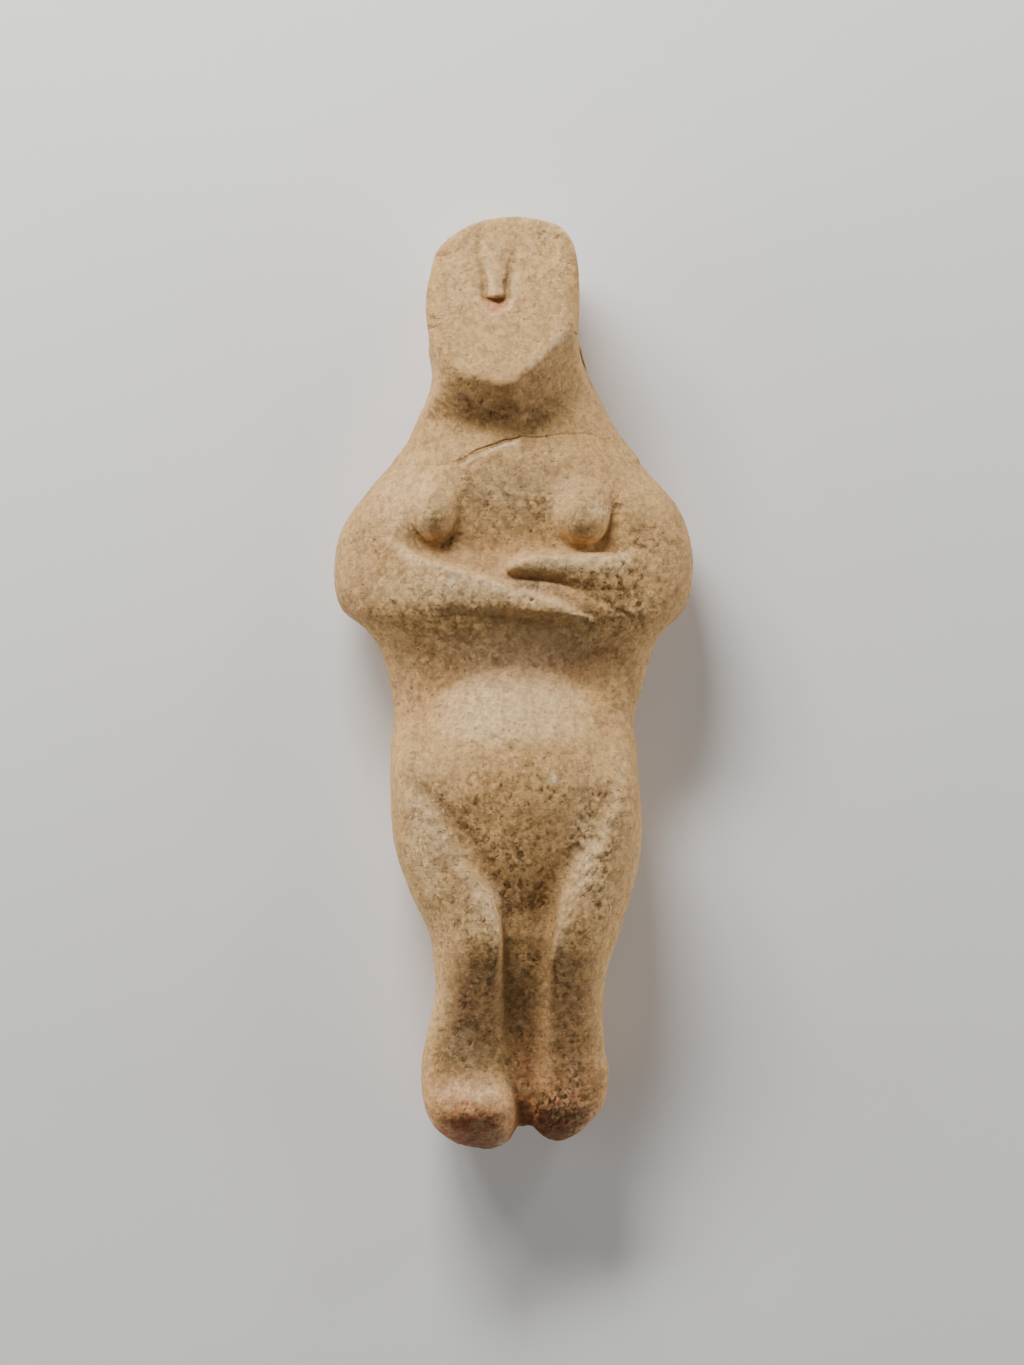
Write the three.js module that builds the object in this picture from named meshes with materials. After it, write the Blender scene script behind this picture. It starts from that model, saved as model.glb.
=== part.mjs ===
// A small folded-arm figurine carved from one block of marble, lying on its back.
// Millimetres, +Z up out of its front, +Y towards the head, origin under the middle of its box.
// The form is written as a closed surface around a solid: a function says how far a place lies
// inside or outside the stone, and every vertex of a ball is drawn in along a ray until it meets it.
import * as THREE from 'three';
import { mergeVertices } from 'three/addons/utils/BufferGeometryUtils.js';

// Driving dimension: the figurine's length from the feet to the top of the head, in millimetres.
const LENGTH = 220;

// Every other size of the carving is a share of that length, in thousandths of it:
// x runs across from the middle, s from the feet up to the head, z from the back forward.
const SHARE = LENGTH / 1000;

// How finely the solid is faceted: columns around the body, and rings from the crown to the soles.
const FRONT_COLUMNS = 30;
const SIDE_COLUMNS = 7;
const BACK_COLUMNS = 20;
const COLUMNS = FRONT_COLUMNS + BACK_COLUMNS + 2 * SIDE_COLUMNS;
const RINGS = 78;
const CAP_RINGS = 5;

const MARBLE = { color: 0xb39c7c, roughness: 0.85, metalness: 0 };

// The outline seen from the front: [s, x] from the crown to the soles.
const OUTLINE_LEFT = [
  [1000, -2], [988, -52], [965, -80], [938, -89], [905, -94], [870, -90], [836, -84],
  [815, -87], [793, -96], [750, -118], [700, -161], [665, -184], [630, -192], [600, -191],
  [577, -182], [560, -161], [540, -145], [514, -136], [472, -128], [440, -129], [400, -132],
  [330, -128], [279, -112], [236, -92], [205, -86], [165, -84], [95, -98], [50, -96],
  [25, -85], [6, -62], [0, -45],
];
const OUTLINE_RIGHT = [
  [1000, 2], [988, 51], [965, 66], [920, 71], [860, 70], [836, 75], [815, 85], [772, 109],
  [729, 142], [686, 178], [643, 192], [610, 192], [580, 184], [557, 162], [536, 150],
  [493, 138], [460, 129], [429, 131], [370, 137], [322, 137], [279, 128], [236, 115],
  [193, 101], [160, 96], [107, 98], [86, 102], [50, 98], [30, 84], [12, 64], [5, 54],
];

// Profiles seen from the side: [s, z]. The upper back and the seat run just below z = 0,
// where the stone is flattened, so that the figurine rests there.
const BACK_PROFILE = [
  [1000, 58], [985, 36], [955, 22], [900, 17], [850, 26], [815, 26], [770, 10], [720, -2],
  [640, -3], [570, 2], [530, 8], [490, 11], [450, 6], [400, -3], [340, -3], [300, 5],
  [250, 14], [200, 15], [130, 10], [80, 12], [45, 22], [20, 36], [0, 62],
];
const TRUNK_PROFILE = [
  [860, 70], [835, 92], [810, 114], [780, 131], [750, 139], [720, 145], [690, 148],
  [650, 147], [610, 149], [582, 150], [562, 143], [542, 132], [520, 123], [496, 120],
  [465, 128], [430, 140], [390, 147], [350, 146], [320, 145.5], [295, 145.5], [270, 145],
  [252, 141], [236, 134],
];
const NECK_PROFILE = [[880, 126], [800, 132], [775, 131], [750, 118], [730, 100]];
const LEFT_LEG_PROFILE = [
  [470, 96], [440, 122], [415, 142], [390, 151], [350, 157], [300, 162], [250, 165],
  [222, 163], [190, 150], [150, 135], [110, 122], [86, 116], [70, 119], [54, 129],
  [40, 132], [25, 123], [12, 104], [0, 80],
];
const RIGHT_LEG_PROFILE = [
  [470, 92], [440, 116], [415, 135], [385, 149], [350, 156], [300, 161], [250, 163],
  [222, 159], [190, 147], [150, 134], [115, 124], [98, 120], [80, 116], [55, 112],
  [36, 104], [18, 88], [5, 66],
];
const WEB_PROFILE = [
  [330, 150], [262, 147], [236, 143], [200, 134], [150, 121], [100, 109], [50, 101], [20, 85],
];

// How square the trunk's front is across: [s, exponent of its section].
const TRUNK_SQUARENESS = [
  [860, 2.0], [760, 2.1], [700, 2.3], [640, 2.6], [570, 2.7], [520, 2.4], [330, 2.3], [240, 2.2],
];

// The face is a flat shield, tilted back from the chin; its rim is given from a point on it
// as [degrees, radius], and past the rim the jaw falls away. Above, the head itself is the rim.
const CHIN = { x: -4, s: 821, z: 178 };
const FACE_TILT = 0.40;
const FACE_ROLL = 0.06;
const JAW_SLOPE = 1.4;
const RIM_CENTRE = { x: -12, s: 905 };
const RIM = [
  [-180, 88], [-171, 83], [-147, 86], [-119, 84], [-100, 83], [-85, 84.5], [-70, 76], [-47, 70],
  [-24, 73], [-7, 79], [16, 92], [45, 130], [90, 150], [140, 150], [165, 105], [180, 88],
];

// The nose stands between two grooves, each [s, x], with a drilled hollow under its tip.
const NOSE = { tip: 912, top: 980, rise: 3, groove: 5.5, width: 6.5, edge: 1.5 };
const NOSE_LEFT = [[985, -37], [960, -37], [940, -33], [925, -30], [912, -31]];
const NOSE_RIGHT = [[985, 0], [960, -1], [940, -4], [925, -7], [912, -7]];
const NOSE_PIT = { x: -18, s: 912, across: 19, along: 17, depth: 8 };

// Creases where the belly goes down between the thighs: [s, x].
const GROIN_LEFT = [
  [560, -400], [450, -175], [430, -142], [408, -118], [373, -77], [355, -58], [328, -38],
  [295, -20], [270, -8], [244, -4], [215, -4],
];
const GROIN_RIGHT = [
  [560, 400], [450, 178], [425, 140], [404, 118], [384, 98], [355, 82], [324, 67], [300, 53],
  [269, 41], [239, 35], [215, 33],
];
const GROIN_SLOPE = 0.7;
const CREASE = {
  depth: 8, inside: 20, outside: 14, from: 420, full: 350, low: 262, to: 220, deep: 115,
};

// The chest is hollowed between the upper arms, and the belly swells below the waist.
const CHEST_HOLLOW = {
  x: 3, depth: 14, inner: 98, outer: 122, top: 745, full: 665, low: 590, foot: 655, deep: 100,
};
const BELLY = { x: 3, s: 386, across: 132, along: 132, swell: 28, fullness: 1.1 };
const BREASTS = [
  { x: -84, s: 688, z: 126, across: 25, up: 30, down: 37, out: 32 },
  { x: 73, s: 678, z: 124, across: 30, up: 36, down: 31, out: 35 },
];
const BREAST_FADE = { from: -4, to: 30, radius: 12 };

// Forearms run across the body: upper edge, lower edge and height of the front, all [x, share].
const LEFT_FOREARM = {
  upper: [[-200, 690], [-160, 668], [-122, 648], [-77, 630], [-33, 616], [5, 602], [49, 588],
    [75, 573], [90, 560]],
  lower: [[-200, 590], [-143, 586], [-84, 578], [-44, 575], [5, 572], [60, 569], [90, 567]],
  front: [[-200, 84], [-165, 112], [-140, 131], [-110, 147], [-77, 155], [-33, 158], [5, 158],
    [42, 156], [62, 152], [78, 145], [90, 138]],
  from: -152, to: 86, ridge: 8, power: 2.7,
};
const RIGHT_FOREARM = {
  upper: [[-12, 618], [-4, 630], [19, 639], [75, 640], [122, 640], [160, 650], [200, 660]],
  lower: [[-12, 617], [-4, 616], [27, 613], [52, 609], [78, 598], [102, 587], [122, 578],
    [160, 566], [200, 560]],
  front: [[-14, 145], [-4, 152], [19, 156], [75, 156], [110, 149], [135, 137], [165, 110],
    [200, 80]],
  from: -8, to: 150, ridge: 9, power: 2.1,
};
const FOREARM = { deep: 50, side: 16, thinnest: 2, backPower: 2 };

// Legs: the crest of each thigh and shin, and the inner edge towards the groove: [s, x].
const LEFT_CREST = [
  [440, -108], [417, -110], [375, -104], [343, -80], [308, -58], [278, -38], [250, -20],
  [223, -16], [190, -24], [130, -40], [60, -46], [0, -46],
];
const RIGHT_CREST = [
  [440, 108], [410, 114], [383, 112], [355, 106], [322, 88], [290, 70], [267, 58],
  [222, 48], [190, 46], [130, 52], [60, 58], [0, 58],
];
const LEFT_INNER_EDGE = [
  [460, -60], [430, -60], [408, -50], [380, -30], [343, -8], [310, 2], [279, 0], [250, -6],
  [214, -8], [171, -6], [129, -3], [86, 2], [43, 4], [20, 1], [6, -6], [0, -12],
];
const RIGHT_INNER_EDGE = [
  [460, 60], [430, 58], [404, 50], [380, 38], [343, 24], [310, 26], [279, 30], [250, 35],
  [214, 34], [171, 29], [129, 26], [86, 22], [43, 19], [22, 24], [5, 40],
];
const HIP_INSET = { depth: 10, from: 400, to: 475, top: 466 };
const LEG = {
  thighPower: 2.3, shinPower: 3.2, thighEnd: 240, shinStart: 180, backPower: 2.6,
  outerMargin: 16, innerMargin: 6, topRadius: 10,
};
const WEB = {
  left: -30, middle: 14, right: 58, back: 24, top: 330, topRadius: 4, frontPower: 4, backPower: 3,
  sole: 24, notch: 10, notchSlope: 0.3, notchRadius: 5,
};

// The head draws in a little at its foot, and the neck at its foot and its top, so that neither
// leaves a ledge where they meet; the trunk's back is squarer.
const HEAD = {
  high: 860, low: 830, slimming: 0.02, lift: 3, front: 236, frontPower: 3.4, backPower: 2.4,
  faceCut: 0.9, jawCut: 0.6, jawLift: 3, topSlimming: 0, topLift: 0,
};
const NECK = {
  high: 840, low: 815, slimming: 0.02, lift: 3, frontPower: 2.3, backPower: 2.4, topRadius: 3,
  footRadius: 4, topSlimming: 0.03, topLift: 4,
};
const NECK_TOP = { from: 838, to: 862 };
const TRUNK = { backPower: 2.8 };

// Heights of the widest outline above the back.
const SIDE = { head: 84, neck: 78, trunk: 70, legs: 74, web: 60 };

// Radii of the soft joins between the forms.
const SOFT = {
  face: 3, jaw: 5, neck: 5, breast: 7, forearm: 4, trunk: 6, groin: 12, web: 8, hip: 12, crown: 8,
  rest: 2,
};

// Limits of a form's mass along the length, kept a little inside its neighbours.
const LIMITS = {
  crown: 1003, headFoot: 770, neckTop: 868, neckFoot: 740, trunkTop: 862, trunkFoot: 236,
};

// Between the thighs the trunk's back rises to the web that stands between the legs.
const CLEFT = { rise: 24, from: 360, to: 262 };

const clamp = THREE.MathUtils.clamp;

// A smooth curve through hand-set points, as a function of their first value, read from a table.
function through(points, squared = false) {
  const knots = points.map(([at, value]) => [at, squared ? value * Math.abs(value) : value])
    .sort((a, b) => a[0] - b[0]);
  const last = knots.length - 1;
  const [first, end] = [Math.floor(knots[0][0]), Math.ceil(knots[last][0])];
  const slopes = knots.map((knot, i) => {
    const before = knots[Math.max(i - 1, 0)];
    const after = knots[Math.min(i + 1, last)];
    return (after[1] - before[1]) / (after[0] - before[0]);
  });
  const exact = (at) => {
    const place = clamp(at, knots[0][0], knots[last][0]);
    let i = 0;
    while (i < last - 1 && knots[i + 1][0] < place) i += 1;
    const span = knots[i + 1][0] - knots[i][0];
    const t = (place - knots[i][0]) / span;
    const rest = 1 - t;
    const value = (1 + 2 * t) * rest * rest * knots[i][1]
      + t * rest * rest * span * slopes[i]
      + t * t * (3 - 2 * t) * knots[i + 1][1]
      - t * t * rest * span * slopes[i + 1];
    return squared ? Math.sign(value) * Math.sqrt(Math.abs(value)) : value;
  };
  const steps = Math.max(Math.round((end - first) * 2), 200);
  const table = Array.from({ length: steps + 1 }, (_, i) => exact(first + (end - first) * i / steps));
  return (at) => {
    const place = clamp((at - first) / (end - first), 0, 1) * steps;
    const i = Math.min(Math.floor(place), steps - 1);
    return table[i] + (table[i + 1] - table[i]) * (place - i);
  };
}

function ramp(from, to, value) {
  const t = clamp((value - from) / (to - from), 0, 1);
  return t * t * (3 - 2 * t);
}

// Joins two forms, or trims one by another, with a soft edge of the given radius.
function join(a, b, radius) {
  const mix = clamp(0.5 + 0.5 * (b - a) / radius, 0, 1);
  return b + (a - b) * mix - radius * mix * (1 - mix);
}

function trim(a, b, radius) {
  return -join(-a, -b, radius);
}

function swelling(x, s, bump) {
  const inside = 1 - ((x - bump.x) / bump.across) ** 2 - ((s - bump.s) / bump.along) ** 2;
  return Math.max(inside, 0);
}

// A section across a form: widest at the height side, highest over crest, deepest halfway.
function section(x, z, shape) {
  const { left, crest, right, back, side, front, frontPower, backPower } = shape;
  const above = z > side;
  const middle = above ? crest : (left + right) / 2;
  const half = Math.max(x < middle ? middle - left : right - middle, 2);
  const reach = Math.max(above ? front - side : side - back, 2);
  const power = above ? frontPower : backPower;
  const gauge = (Math.abs((x - middle) / half) ** power
    + Math.abs((z - side) / reach) ** power) ** (1 / power);
  return (gauge - 1) * Math.min(half, reach, 60);
}

const outlineLeft = through(OUTLINE_LEFT, true);
const outlineRight = through(OUTLINE_RIGHT, true);
const backProfile = through(BACK_PROFILE);
const trunkProfile = through(TRUNK_PROFILE);
const neckProfile = through(NECK_PROFILE);
const webProfile = through(WEB_PROFILE);
const trunkSquareness = through(TRUNK_SQUARENESS);
const rimRadius = through(RIM);
const noseLeft = through(NOSE_LEFT);
const noseRight = through(NOSE_RIGHT);
const groinLeft = through(GROIN_LEFT);
const groinRight = through(GROIN_RIGHT);

// The flat shield of the face, and the same with the nose carved on it.
function shield(x, s) {
  return CHIN.z - FACE_TILT * (s - CHIN.s) + FACE_ROLL * (x - CHIN.x);
}

// How far a place lies outside the rim of the shield.
function pastRim(x, s) {
  const [dx, ds] = [x - RIM_CENTRE.x, s - RIM_CENTRE.s];
  return Math.hypot(dx, ds) - rimRadius(THREE.MathUtils.radToDeg(Math.atan2(ds, dx)));
}

function face(x, s) {
  const down = clamp((NOSE.top - s) / (NOSE.top - NOSE.tip), 0, 1);
  const on = ramp(NOSE.tip - NOSE.edge, NOSE.tip + NOSE.edge, s);
  const [left, right] = [noseLeft(s), noseRight(s)];
  const across = Math.abs(x - (left + right) / 2) / ((right - left) / 2);
  const ridge = NOSE.rise * down ** 1.4 * on * clamp(1 - across ** 3, 0, 1);
  const beside = Math.min(Math.abs(x - left), Math.abs(x - right)) / NOSE.width;
  const groove = NOSE.groove * down ** 0.6 * on * Math.exp(-beside * beside);
  const pit = NOSE_PIT.depth * swelling(x, s, NOSE_PIT) ** 0.6 * (1 - on);
  return shield(x, s) + ridge - groove - pit;
}

// The upright form that the head and the neck start from.
function column(x, s, z, form, side, front) {
  const low = ramp(form.high, form.low, s);
  const top = ramp(NECK_TOP.from, NECK_TOP.to, s);
  const slim = 1 - form.slimming * low - form.topSlimming * top;
  return section(x, z, {
    left: outlineLeft(s) * slim, crest: (outlineLeft(s) + outlineRight(s)) / 2,
    right: outlineRight(s) * slim, back: backProfile(s) + form.lift * low + form.topLift * top,
    side, front, frontPower: form.frontPower, backPower: form.backPower,
  });
}

function head(x, s, z) {
  const whole = column(x, s, z, HEAD, SIDE.head, HEAD.front);
  const faced = trim(whole, (z - face(x, s)) * HEAD.faceCut, SOFT.face);
  const underJaw = z - shield(x, s) - HEAD.jawLift + JAW_SLOPE * pastRim(x, s);
  const jawed = trim(faced, underJaw * HEAD.jawCut, SOFT.jaw);
  return trim(trim(jawed, s - LIMITS.crown, SOFT.crown), LIMITS.headFoot - s, SOFT.trunk);
}

function neck(x, s, z) {
  const whole = column(x, s, z, NECK, SIDE.neck, neckProfile(s));
  return trim(trim(whole, s - LIMITS.neckTop, NECK.topRadius), LIMITS.neckFoot - s, NECK.footRadius);
}

// Chest, waist and belly, cut to a point between the thighs.
function trunk(x, s, z) {
  const hollow = CHEST_HOLLOW.depth
    * ramp(CHEST_HOLLOW.outer, CHEST_HOLLOW.inner, Math.abs(x - CHEST_HOLLOW.x))
    * ramp(CHEST_HOLLOW.top, CHEST_HOLLOW.full, s) * ramp(CHEST_HOLLOW.low, CHEST_HOLLOW.foot, s);
  const belly = BELLY.swell * swelling(x, s, BELLY) ** BELLY.fullness;
  const carved = z + (hollow - belly) * ramp(SIDE.trunk, CHEST_HOLLOW.deep, z);
  let form = section(x, carved, {
    left: outlineLeft(s), crest: (outlineLeft(s) + outlineRight(s)) / 2, right: outlineRight(s),
    back: backProfile(s) + CLEFT.rise * ramp(CLEFT.from, CLEFT.to, s), side: SIDE.trunk,
    front: trunkProfile(s),
    frontPower: trunkSquareness(s), backPower: TRUNK.backPower,
  });
  form = trim(form, (groinLeft(s) - x) * GROIN_SLOPE, SOFT.groin);
  form = trim(form, (x - groinRight(s)) * GROIN_SLOPE, SOFT.groin);
  return trim(trim(form, s - LIMITS.trunkTop, SOFT.trunk), LIMITS.trunkFoot - s, SOFT.trunk);
}

function breast(x, s, z, shape) {
  const along = s > shape.s ? shape.up : shape.down;
  const reach = Math.hypot((x - shape.x) / shape.across, (s - shape.s) / along, (z - shape.z) / shape.out);
  return (reach - 1) * Math.min(shape.across, shape.down, shape.out);
}

function makeForearm({ upper, lower, front, from, to, ridge, power }) {
  const [upperEdge, lowerEdge, height] = [upper, lower, front].map((points) => through(points));
  return (x, s, z) => {
    const [top, foot, forward] = [upperEdge(x), lowerEdge(x), height(x)];
    const form = section(s, z, {
      left: foot, crest: clamp(top - ridge, (top + foot) / 2, top),
      right: Math.max(top, foot + FOREARM.thinnest), back: forward - FOREARM.deep,
      side: forward - FOREARM.side, front: forward, frontPower: power, backPower: FOREARM.backPower,
    });
    return trim(trim(form, from - x, SOFT.forearm), x - to, SOFT.forearm);
  };
}

// A leg from the hip to the sole; outward is -1 on the left of the outline and 1 on the right.
function makeLeg({ outward, outline, profile, crest, inner, lift, sole }) {
  const [height, ridge, innerEdge] = [profile, crest, inner].map((points) => through(points));
  return (x, s, z) => {
    const inset = HIP_INSET.depth * ramp(HIP_INSET.from, HIP_INSET.to, s);
    const outer = outline(s) - outward * inset;
    const inside = innerEdge(s);
    const [left, right] = outward < 0 ? [outer, inside] : [inside, outer];
    const [leftMargin, rightMargin] = outward < 0
      ? [LEG.outerMargin, LEG.innerMargin] : [LEG.innerMargin, LEG.outerMargin];
    const form = section(x, z, {
      left, crest: clamp(ridge(s), left + leftMargin, right - rightMargin), right,
      back: backProfile(s) + inset + lift, side: SIDE.legs, front: height(s),
      frontPower: THREE.MathUtils.lerp(LEG.thighPower, LEG.shinPower, ramp(LEG.thighEnd, LEG.shinStart, s)),
      backPower: LEG.backPower,
    });
    return trim(trim(form, s - HIP_INSET.top, LEG.topRadius), sole.from - s, sole.radius);
  };
}

// The thin wall of stone left standing between the legs.
function web(x, s, z) {
  const form = section(x, z, {
    left: WEB.left, crest: WEB.middle, right: WEB.right, back: WEB.back, side: SIDE.web,
    front: webProfile(s), frontPower: WEB.frontPower, backPower: WEB.backPower,
  });
  const notch = WEB.sole - s + WEB.notchSlope * Math.abs(x - WEB.notch);
  return trim(trim(form, s - WEB.top, WEB.topRadius), notch, WEB.notchRadius);
}

const forearms = [RIGHT_FOREARM, LEFT_FOREARM].map(makeForearm);
const legs = [
  makeLeg({
    outward: -1, outline: outlineLeft, profile: LEFT_LEG_PROFILE, crest: LEFT_CREST,
    inner: LEFT_INNER_EDGE, lift: 0, sole: { from: -1, radius: 14 },
  }),
  makeLeg({
    outward: 1, outline: outlineRight, profile: RIGHT_LEG_PROFILE, crest: RIGHT_CREST,
    inner: RIGHT_INNER_EDGE, lift: 2, sole: { from: 8, radius: 12 },
  }),
];

// How deep the creases beside the belly are at a place.
function crease(x, s) {
  const along = ramp(CREASE.from, CREASE.full, s) * ramp(CREASE.to, CREASE.low, s);
  const reach = (line, outward) => {
    const out = (x - line(s)) * outward * GROIN_SLOPE;
    return Math.exp(-((out / (out > 0 ? CREASE.outside : CREASE.inside)) ** 2));
  };
  return CREASE.depth * along * Math.max(reach(groinLeft, -1), reach(groinRight, 1));
}

// Negative inside the stone, positive outside.
function stone(x, s, height) {
  const z = height + crease(x, s) * ramp(SIDE.legs, CREASE.deep, height);
  const upper = join(head(x, s, z), neck(x, s, z), SOFT.neck);
  let middle = trunk(x, s, z);
  for (const shape of BREASTS) {
    const fade = ramp(shape.s + BREAST_FADE.from, shape.s + BREAST_FADE.to, s);
    middle = join(middle, breast(x, s, z, shape), SOFT.breast + BREAST_FADE.radius * fade);
  }
  for (const forearm of forearms) middle = join(middle, forearm(x, s, z), SOFT.forearm);
  let lower = web(x, s, z);
  for (const leg of legs) lower = join(lower, leg(x, s, z), SOFT.web);
  return trim(join(join(upper, middle, SOFT.trunk), lower, SOFT.hip), -z, SOFT.rest);
}

// Where the rays start from: a flat core inside the stone.
const CORE = { margin: 28, height: 68, head: 955, feet: 45 };
const CREASE_COLUMNS = { share: 0.24, from: 345, full: 285, swap: 262, over: 12 };
// Each ray is followed inwards from beyond the widest place of the outline.
const WIDEST = Math.max(...OUTLINE_RIGHT.map(([, x]) => x));
const RAY_STEPS = 38;
const HALVINGS = 22;

// Rings lie closer together over the jaw, the breasts and the arms: [share of the rings, s].
const RING_PLACES = [
  [0, CORE.head], [0.1, 880], [0.26, 790], [0.34, 715], [0.62, 562], [0.8, 330], [1, CORE.feet],
];
const ringPlace = through(RING_PLACES.map(([share, s]) => [share * 100, s]));

// On the front the rings bend to follow the jaw and the edges of the forearms: each row says
// how far the ring that stands at s in the middle moves for a place x across.
const leftArmTop = through(LEFT_FOREARM.upper);
const ARM_TOP = 641;
const RIGHT_ARM_GUIDE = [[-130, 664], [-60, 648], [0, ARM_TOP], [150, ARM_TOP]];
const rightArmTop = through(RIGHT_ARM_GUIDE);
const JAW = { from: -150, to: -5 };
const jawLine = through(RIM.filter(([turn]) => turn > JAW.from && turn < JAW.to).map(([turn, out]) => [
  RIM_CENTRE.x + out * Math.cos(THREE.MathUtils.degToRad(turn)),
  RIM_CENTRE.s + out * Math.sin(THREE.MathUtils.degToRad(turn)),
]));
const RING_GUIDES = [
  [930, () => 0],
  [CHIN.s, (x) => jawLine(x) - CHIN.s],
  [760, () => 0],
  [700, () => 0],
  [ARM_TOP, (x) => rightArmTop(x) - ARM_TOP],
  [603, (x) => Math.max(leftArmTop(clamp(x, -122, 75)), 578) - 603],
  [572, () => 0],
];
const innerLeft = through(LEFT_INNER_EDGE);
const innerRight = through(RIGHT_INNER_EDGE);

function ringBend(x, s) {
  const next = RING_GUIDES.findIndex(([place]) => place <= s);
  if (next < 1) return 0;
  const [[high, above], [low, below]] = [RING_GUIDES[next - 1], RING_GUIDES[next]];
  return THREE.MathUtils.lerp(below(x), above(x), (s - low) / (high - low));
}

// The place across the core for a column between -1 and 1; below the belly some columns
// follow the creases beside it and then the edges of the groove between the legs.
function corePlace(column, s) {
  const middle = (outlineLeft(s) + outlineRight(s)) / 2;
  const half = (outlineRight(s) - outlineLeft(s)) / 2 - CORE.margin;
  const swap = ramp(
    CREASE_COLUMNS.swap - CREASE_COLUMNS.over, CREASE_COLUMNS.swap + CREASE_COLUMNS.over, s);
  const low = THREE.MathUtils.lerp(innerLeft(s), groinLeft(s), swap);
  const high = THREE.MathUtils.lerp(innerRight(s), groinRight(s), swap);
  const { share } = CREASE_COLUMNS;
  const outer = (Math.abs(column) - share) / (1 - share);
  let creased = low + (high - low) * (column / share + 1) / 2;
  if (column < -share) creased = low + (middle - half - low) * outer;
  if (column > share) creased = high + (middle + half - high) * outer;
  const follow = ramp(CREASE_COLUMNS.from, CREASE_COLUMNS.full, s);
  return THREE.MathUtils.lerp(middle + column * half, creased, follow);
}

// The column across the core, and the angle of its ray, for a place around the body.
function aroundBody(index) {
  const fan = (place) => Math.sin(Math.PI / 2 * (1 - 2 * place / SIDE_COLUMNS)) * Math.PI / 2;
  if (index <= FRONT_COLUMNS) return { column: 2 * index / FRONT_COLUMNS - 1, angle: Math.PI / 2 };
  const pastFront = index - FRONT_COLUMNS;
  if (pastFront < SIDE_COLUMNS) return { column: 1, angle: fan(pastFront) };
  const pastSide = pastFront - SIDE_COLUMNS;
  if (pastSide <= BACK_COLUMNS) return { column: 1 - 2 * pastSide / BACK_COLUMNS, angle: -Math.PI / 2 };
  return { column: -1, angle: Math.PI - fan(SIDE_COLUMNS - pastSide + BACK_COLUMNS) };
}

// How far a ring near an end is tilted towards it, and where it stands along the length.
function alongBody(ring) {
  const towardsHead = Math.max(1 - ring / CAP_RINGS, 0);
  const towardsFeet = Math.max(1 - (RINGS - ring) / CAP_RINGS, 0);
  const share = clamp((ring - CAP_RINGS) / (RINGS - 2 * CAP_RINGS), 0, 1);
  return { tilt: Math.PI / 2 * (towardsHead - towardsFeet), s: ringPlace(share * 100) };
}

// Draws one vertex in along its ray to the surface of the stone.
function surfacePoint(index, ring) {
  const { column, angle } = aroundBody(index);
  const { tilt, s } = alongBody(ring);
  const x = corePlace(column * Math.cos(tilt), s);
  const bend = Math.max(Math.sin(angle), 0) * Math.cos(tilt) * ringBend(x, s);
  const start = new THREE.Vector3(x, s + bend, CORE.height);
  const ray = new THREE.Vector3(
    Math.cos(angle) * Math.cos(tilt), Math.sin(tilt), Math.sin(angle) * Math.cos(tilt));
  const outside = (reach) => stone(
    start.x + ray.x * reach, start.y + ray.y * reach, start.z + ray.z * reach) > 0;
  const step = WIDEST / RAY_STEPS;
  let far = WIDEST;
  while (far > 0 && outside(far - step)) far -= step;
  let near = far - step;
  for (let i = 0; i < HALVINGS; i += 1) {
    const half = (near + far) / 2;
    if (outside(half)) far = half;
    else near = half;
  }
  return start.addScaledVector(ray, near);
}

function carvedGeometry() {
  const ball = new THREE.SphereGeometry(1, COLUMNS, RINGS);
  const position = ball.attributes.position;
  for (let i = 0; i < position.count; i += 1) {
    const ring = Math.floor(i / (COLUMNS + 1));
    const index = ring === 0 || ring === RINGS ? 0 : i % (COLUMNS + 1) % COLUMNS;
    const place = surfacePoint(index, ring);
    position.setXYZ(i, place.x * SHARE, place.y * SHARE, Math.abs(place.z) < 0.01 ? 0 : place.z * SHARE);
  }
  ball.deleteAttribute('normal');
  ball.deleteAttribute('uv');
  const solid = mergeVertices(ball, 1e-5);
  solid.computeBoundingBox();
  const { min, max } = solid.boundingBox;
  solid.translate(-(min.x + max.x) / 2, -(min.y + max.y) / 2, -min.z);
  solid.computeVertexNormals();
  return solid;
}

const figurine = new THREE.Mesh(carvedGeometry(), new THREE.MeshStandardMaterial(MARBLE));
figurine.name = 'figurine';

const model = new THREE.Group();
model.add(figurine);

export default model;
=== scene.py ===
"""A small folded-arm figurine carved from one block of marble, lying on its back on a pale floor."""
import math
from types import SimpleNamespace as Named

import bpy
import numpy as np
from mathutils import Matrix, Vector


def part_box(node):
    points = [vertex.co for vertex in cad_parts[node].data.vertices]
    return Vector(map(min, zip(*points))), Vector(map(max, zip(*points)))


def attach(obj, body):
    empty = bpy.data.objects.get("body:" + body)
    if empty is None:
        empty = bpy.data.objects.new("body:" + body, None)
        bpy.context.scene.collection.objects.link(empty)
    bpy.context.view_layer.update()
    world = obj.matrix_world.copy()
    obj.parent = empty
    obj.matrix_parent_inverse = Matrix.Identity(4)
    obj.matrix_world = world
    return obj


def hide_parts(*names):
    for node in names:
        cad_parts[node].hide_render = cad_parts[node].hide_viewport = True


bl_info = {
    "name": "Folded-arm marble figurine",
    "version": (1, 0, 0),
    "blender": (4, 5, 0),
    "location": "3D View > Sidebar > Figurine",
    "description": "Carves a weathered marble figurine, gives it its stone and sets it on a floor",
    "category": "Object",
}

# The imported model, and its box as it came in.
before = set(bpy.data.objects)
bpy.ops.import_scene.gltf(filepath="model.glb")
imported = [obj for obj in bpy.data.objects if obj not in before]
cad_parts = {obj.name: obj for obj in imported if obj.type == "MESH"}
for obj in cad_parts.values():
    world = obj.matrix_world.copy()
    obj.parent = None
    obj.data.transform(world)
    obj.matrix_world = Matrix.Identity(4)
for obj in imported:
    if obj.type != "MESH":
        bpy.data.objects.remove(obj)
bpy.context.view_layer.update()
BOX_LOW, BOX_HIGH = (np.array(corner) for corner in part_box("figurine"))

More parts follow.
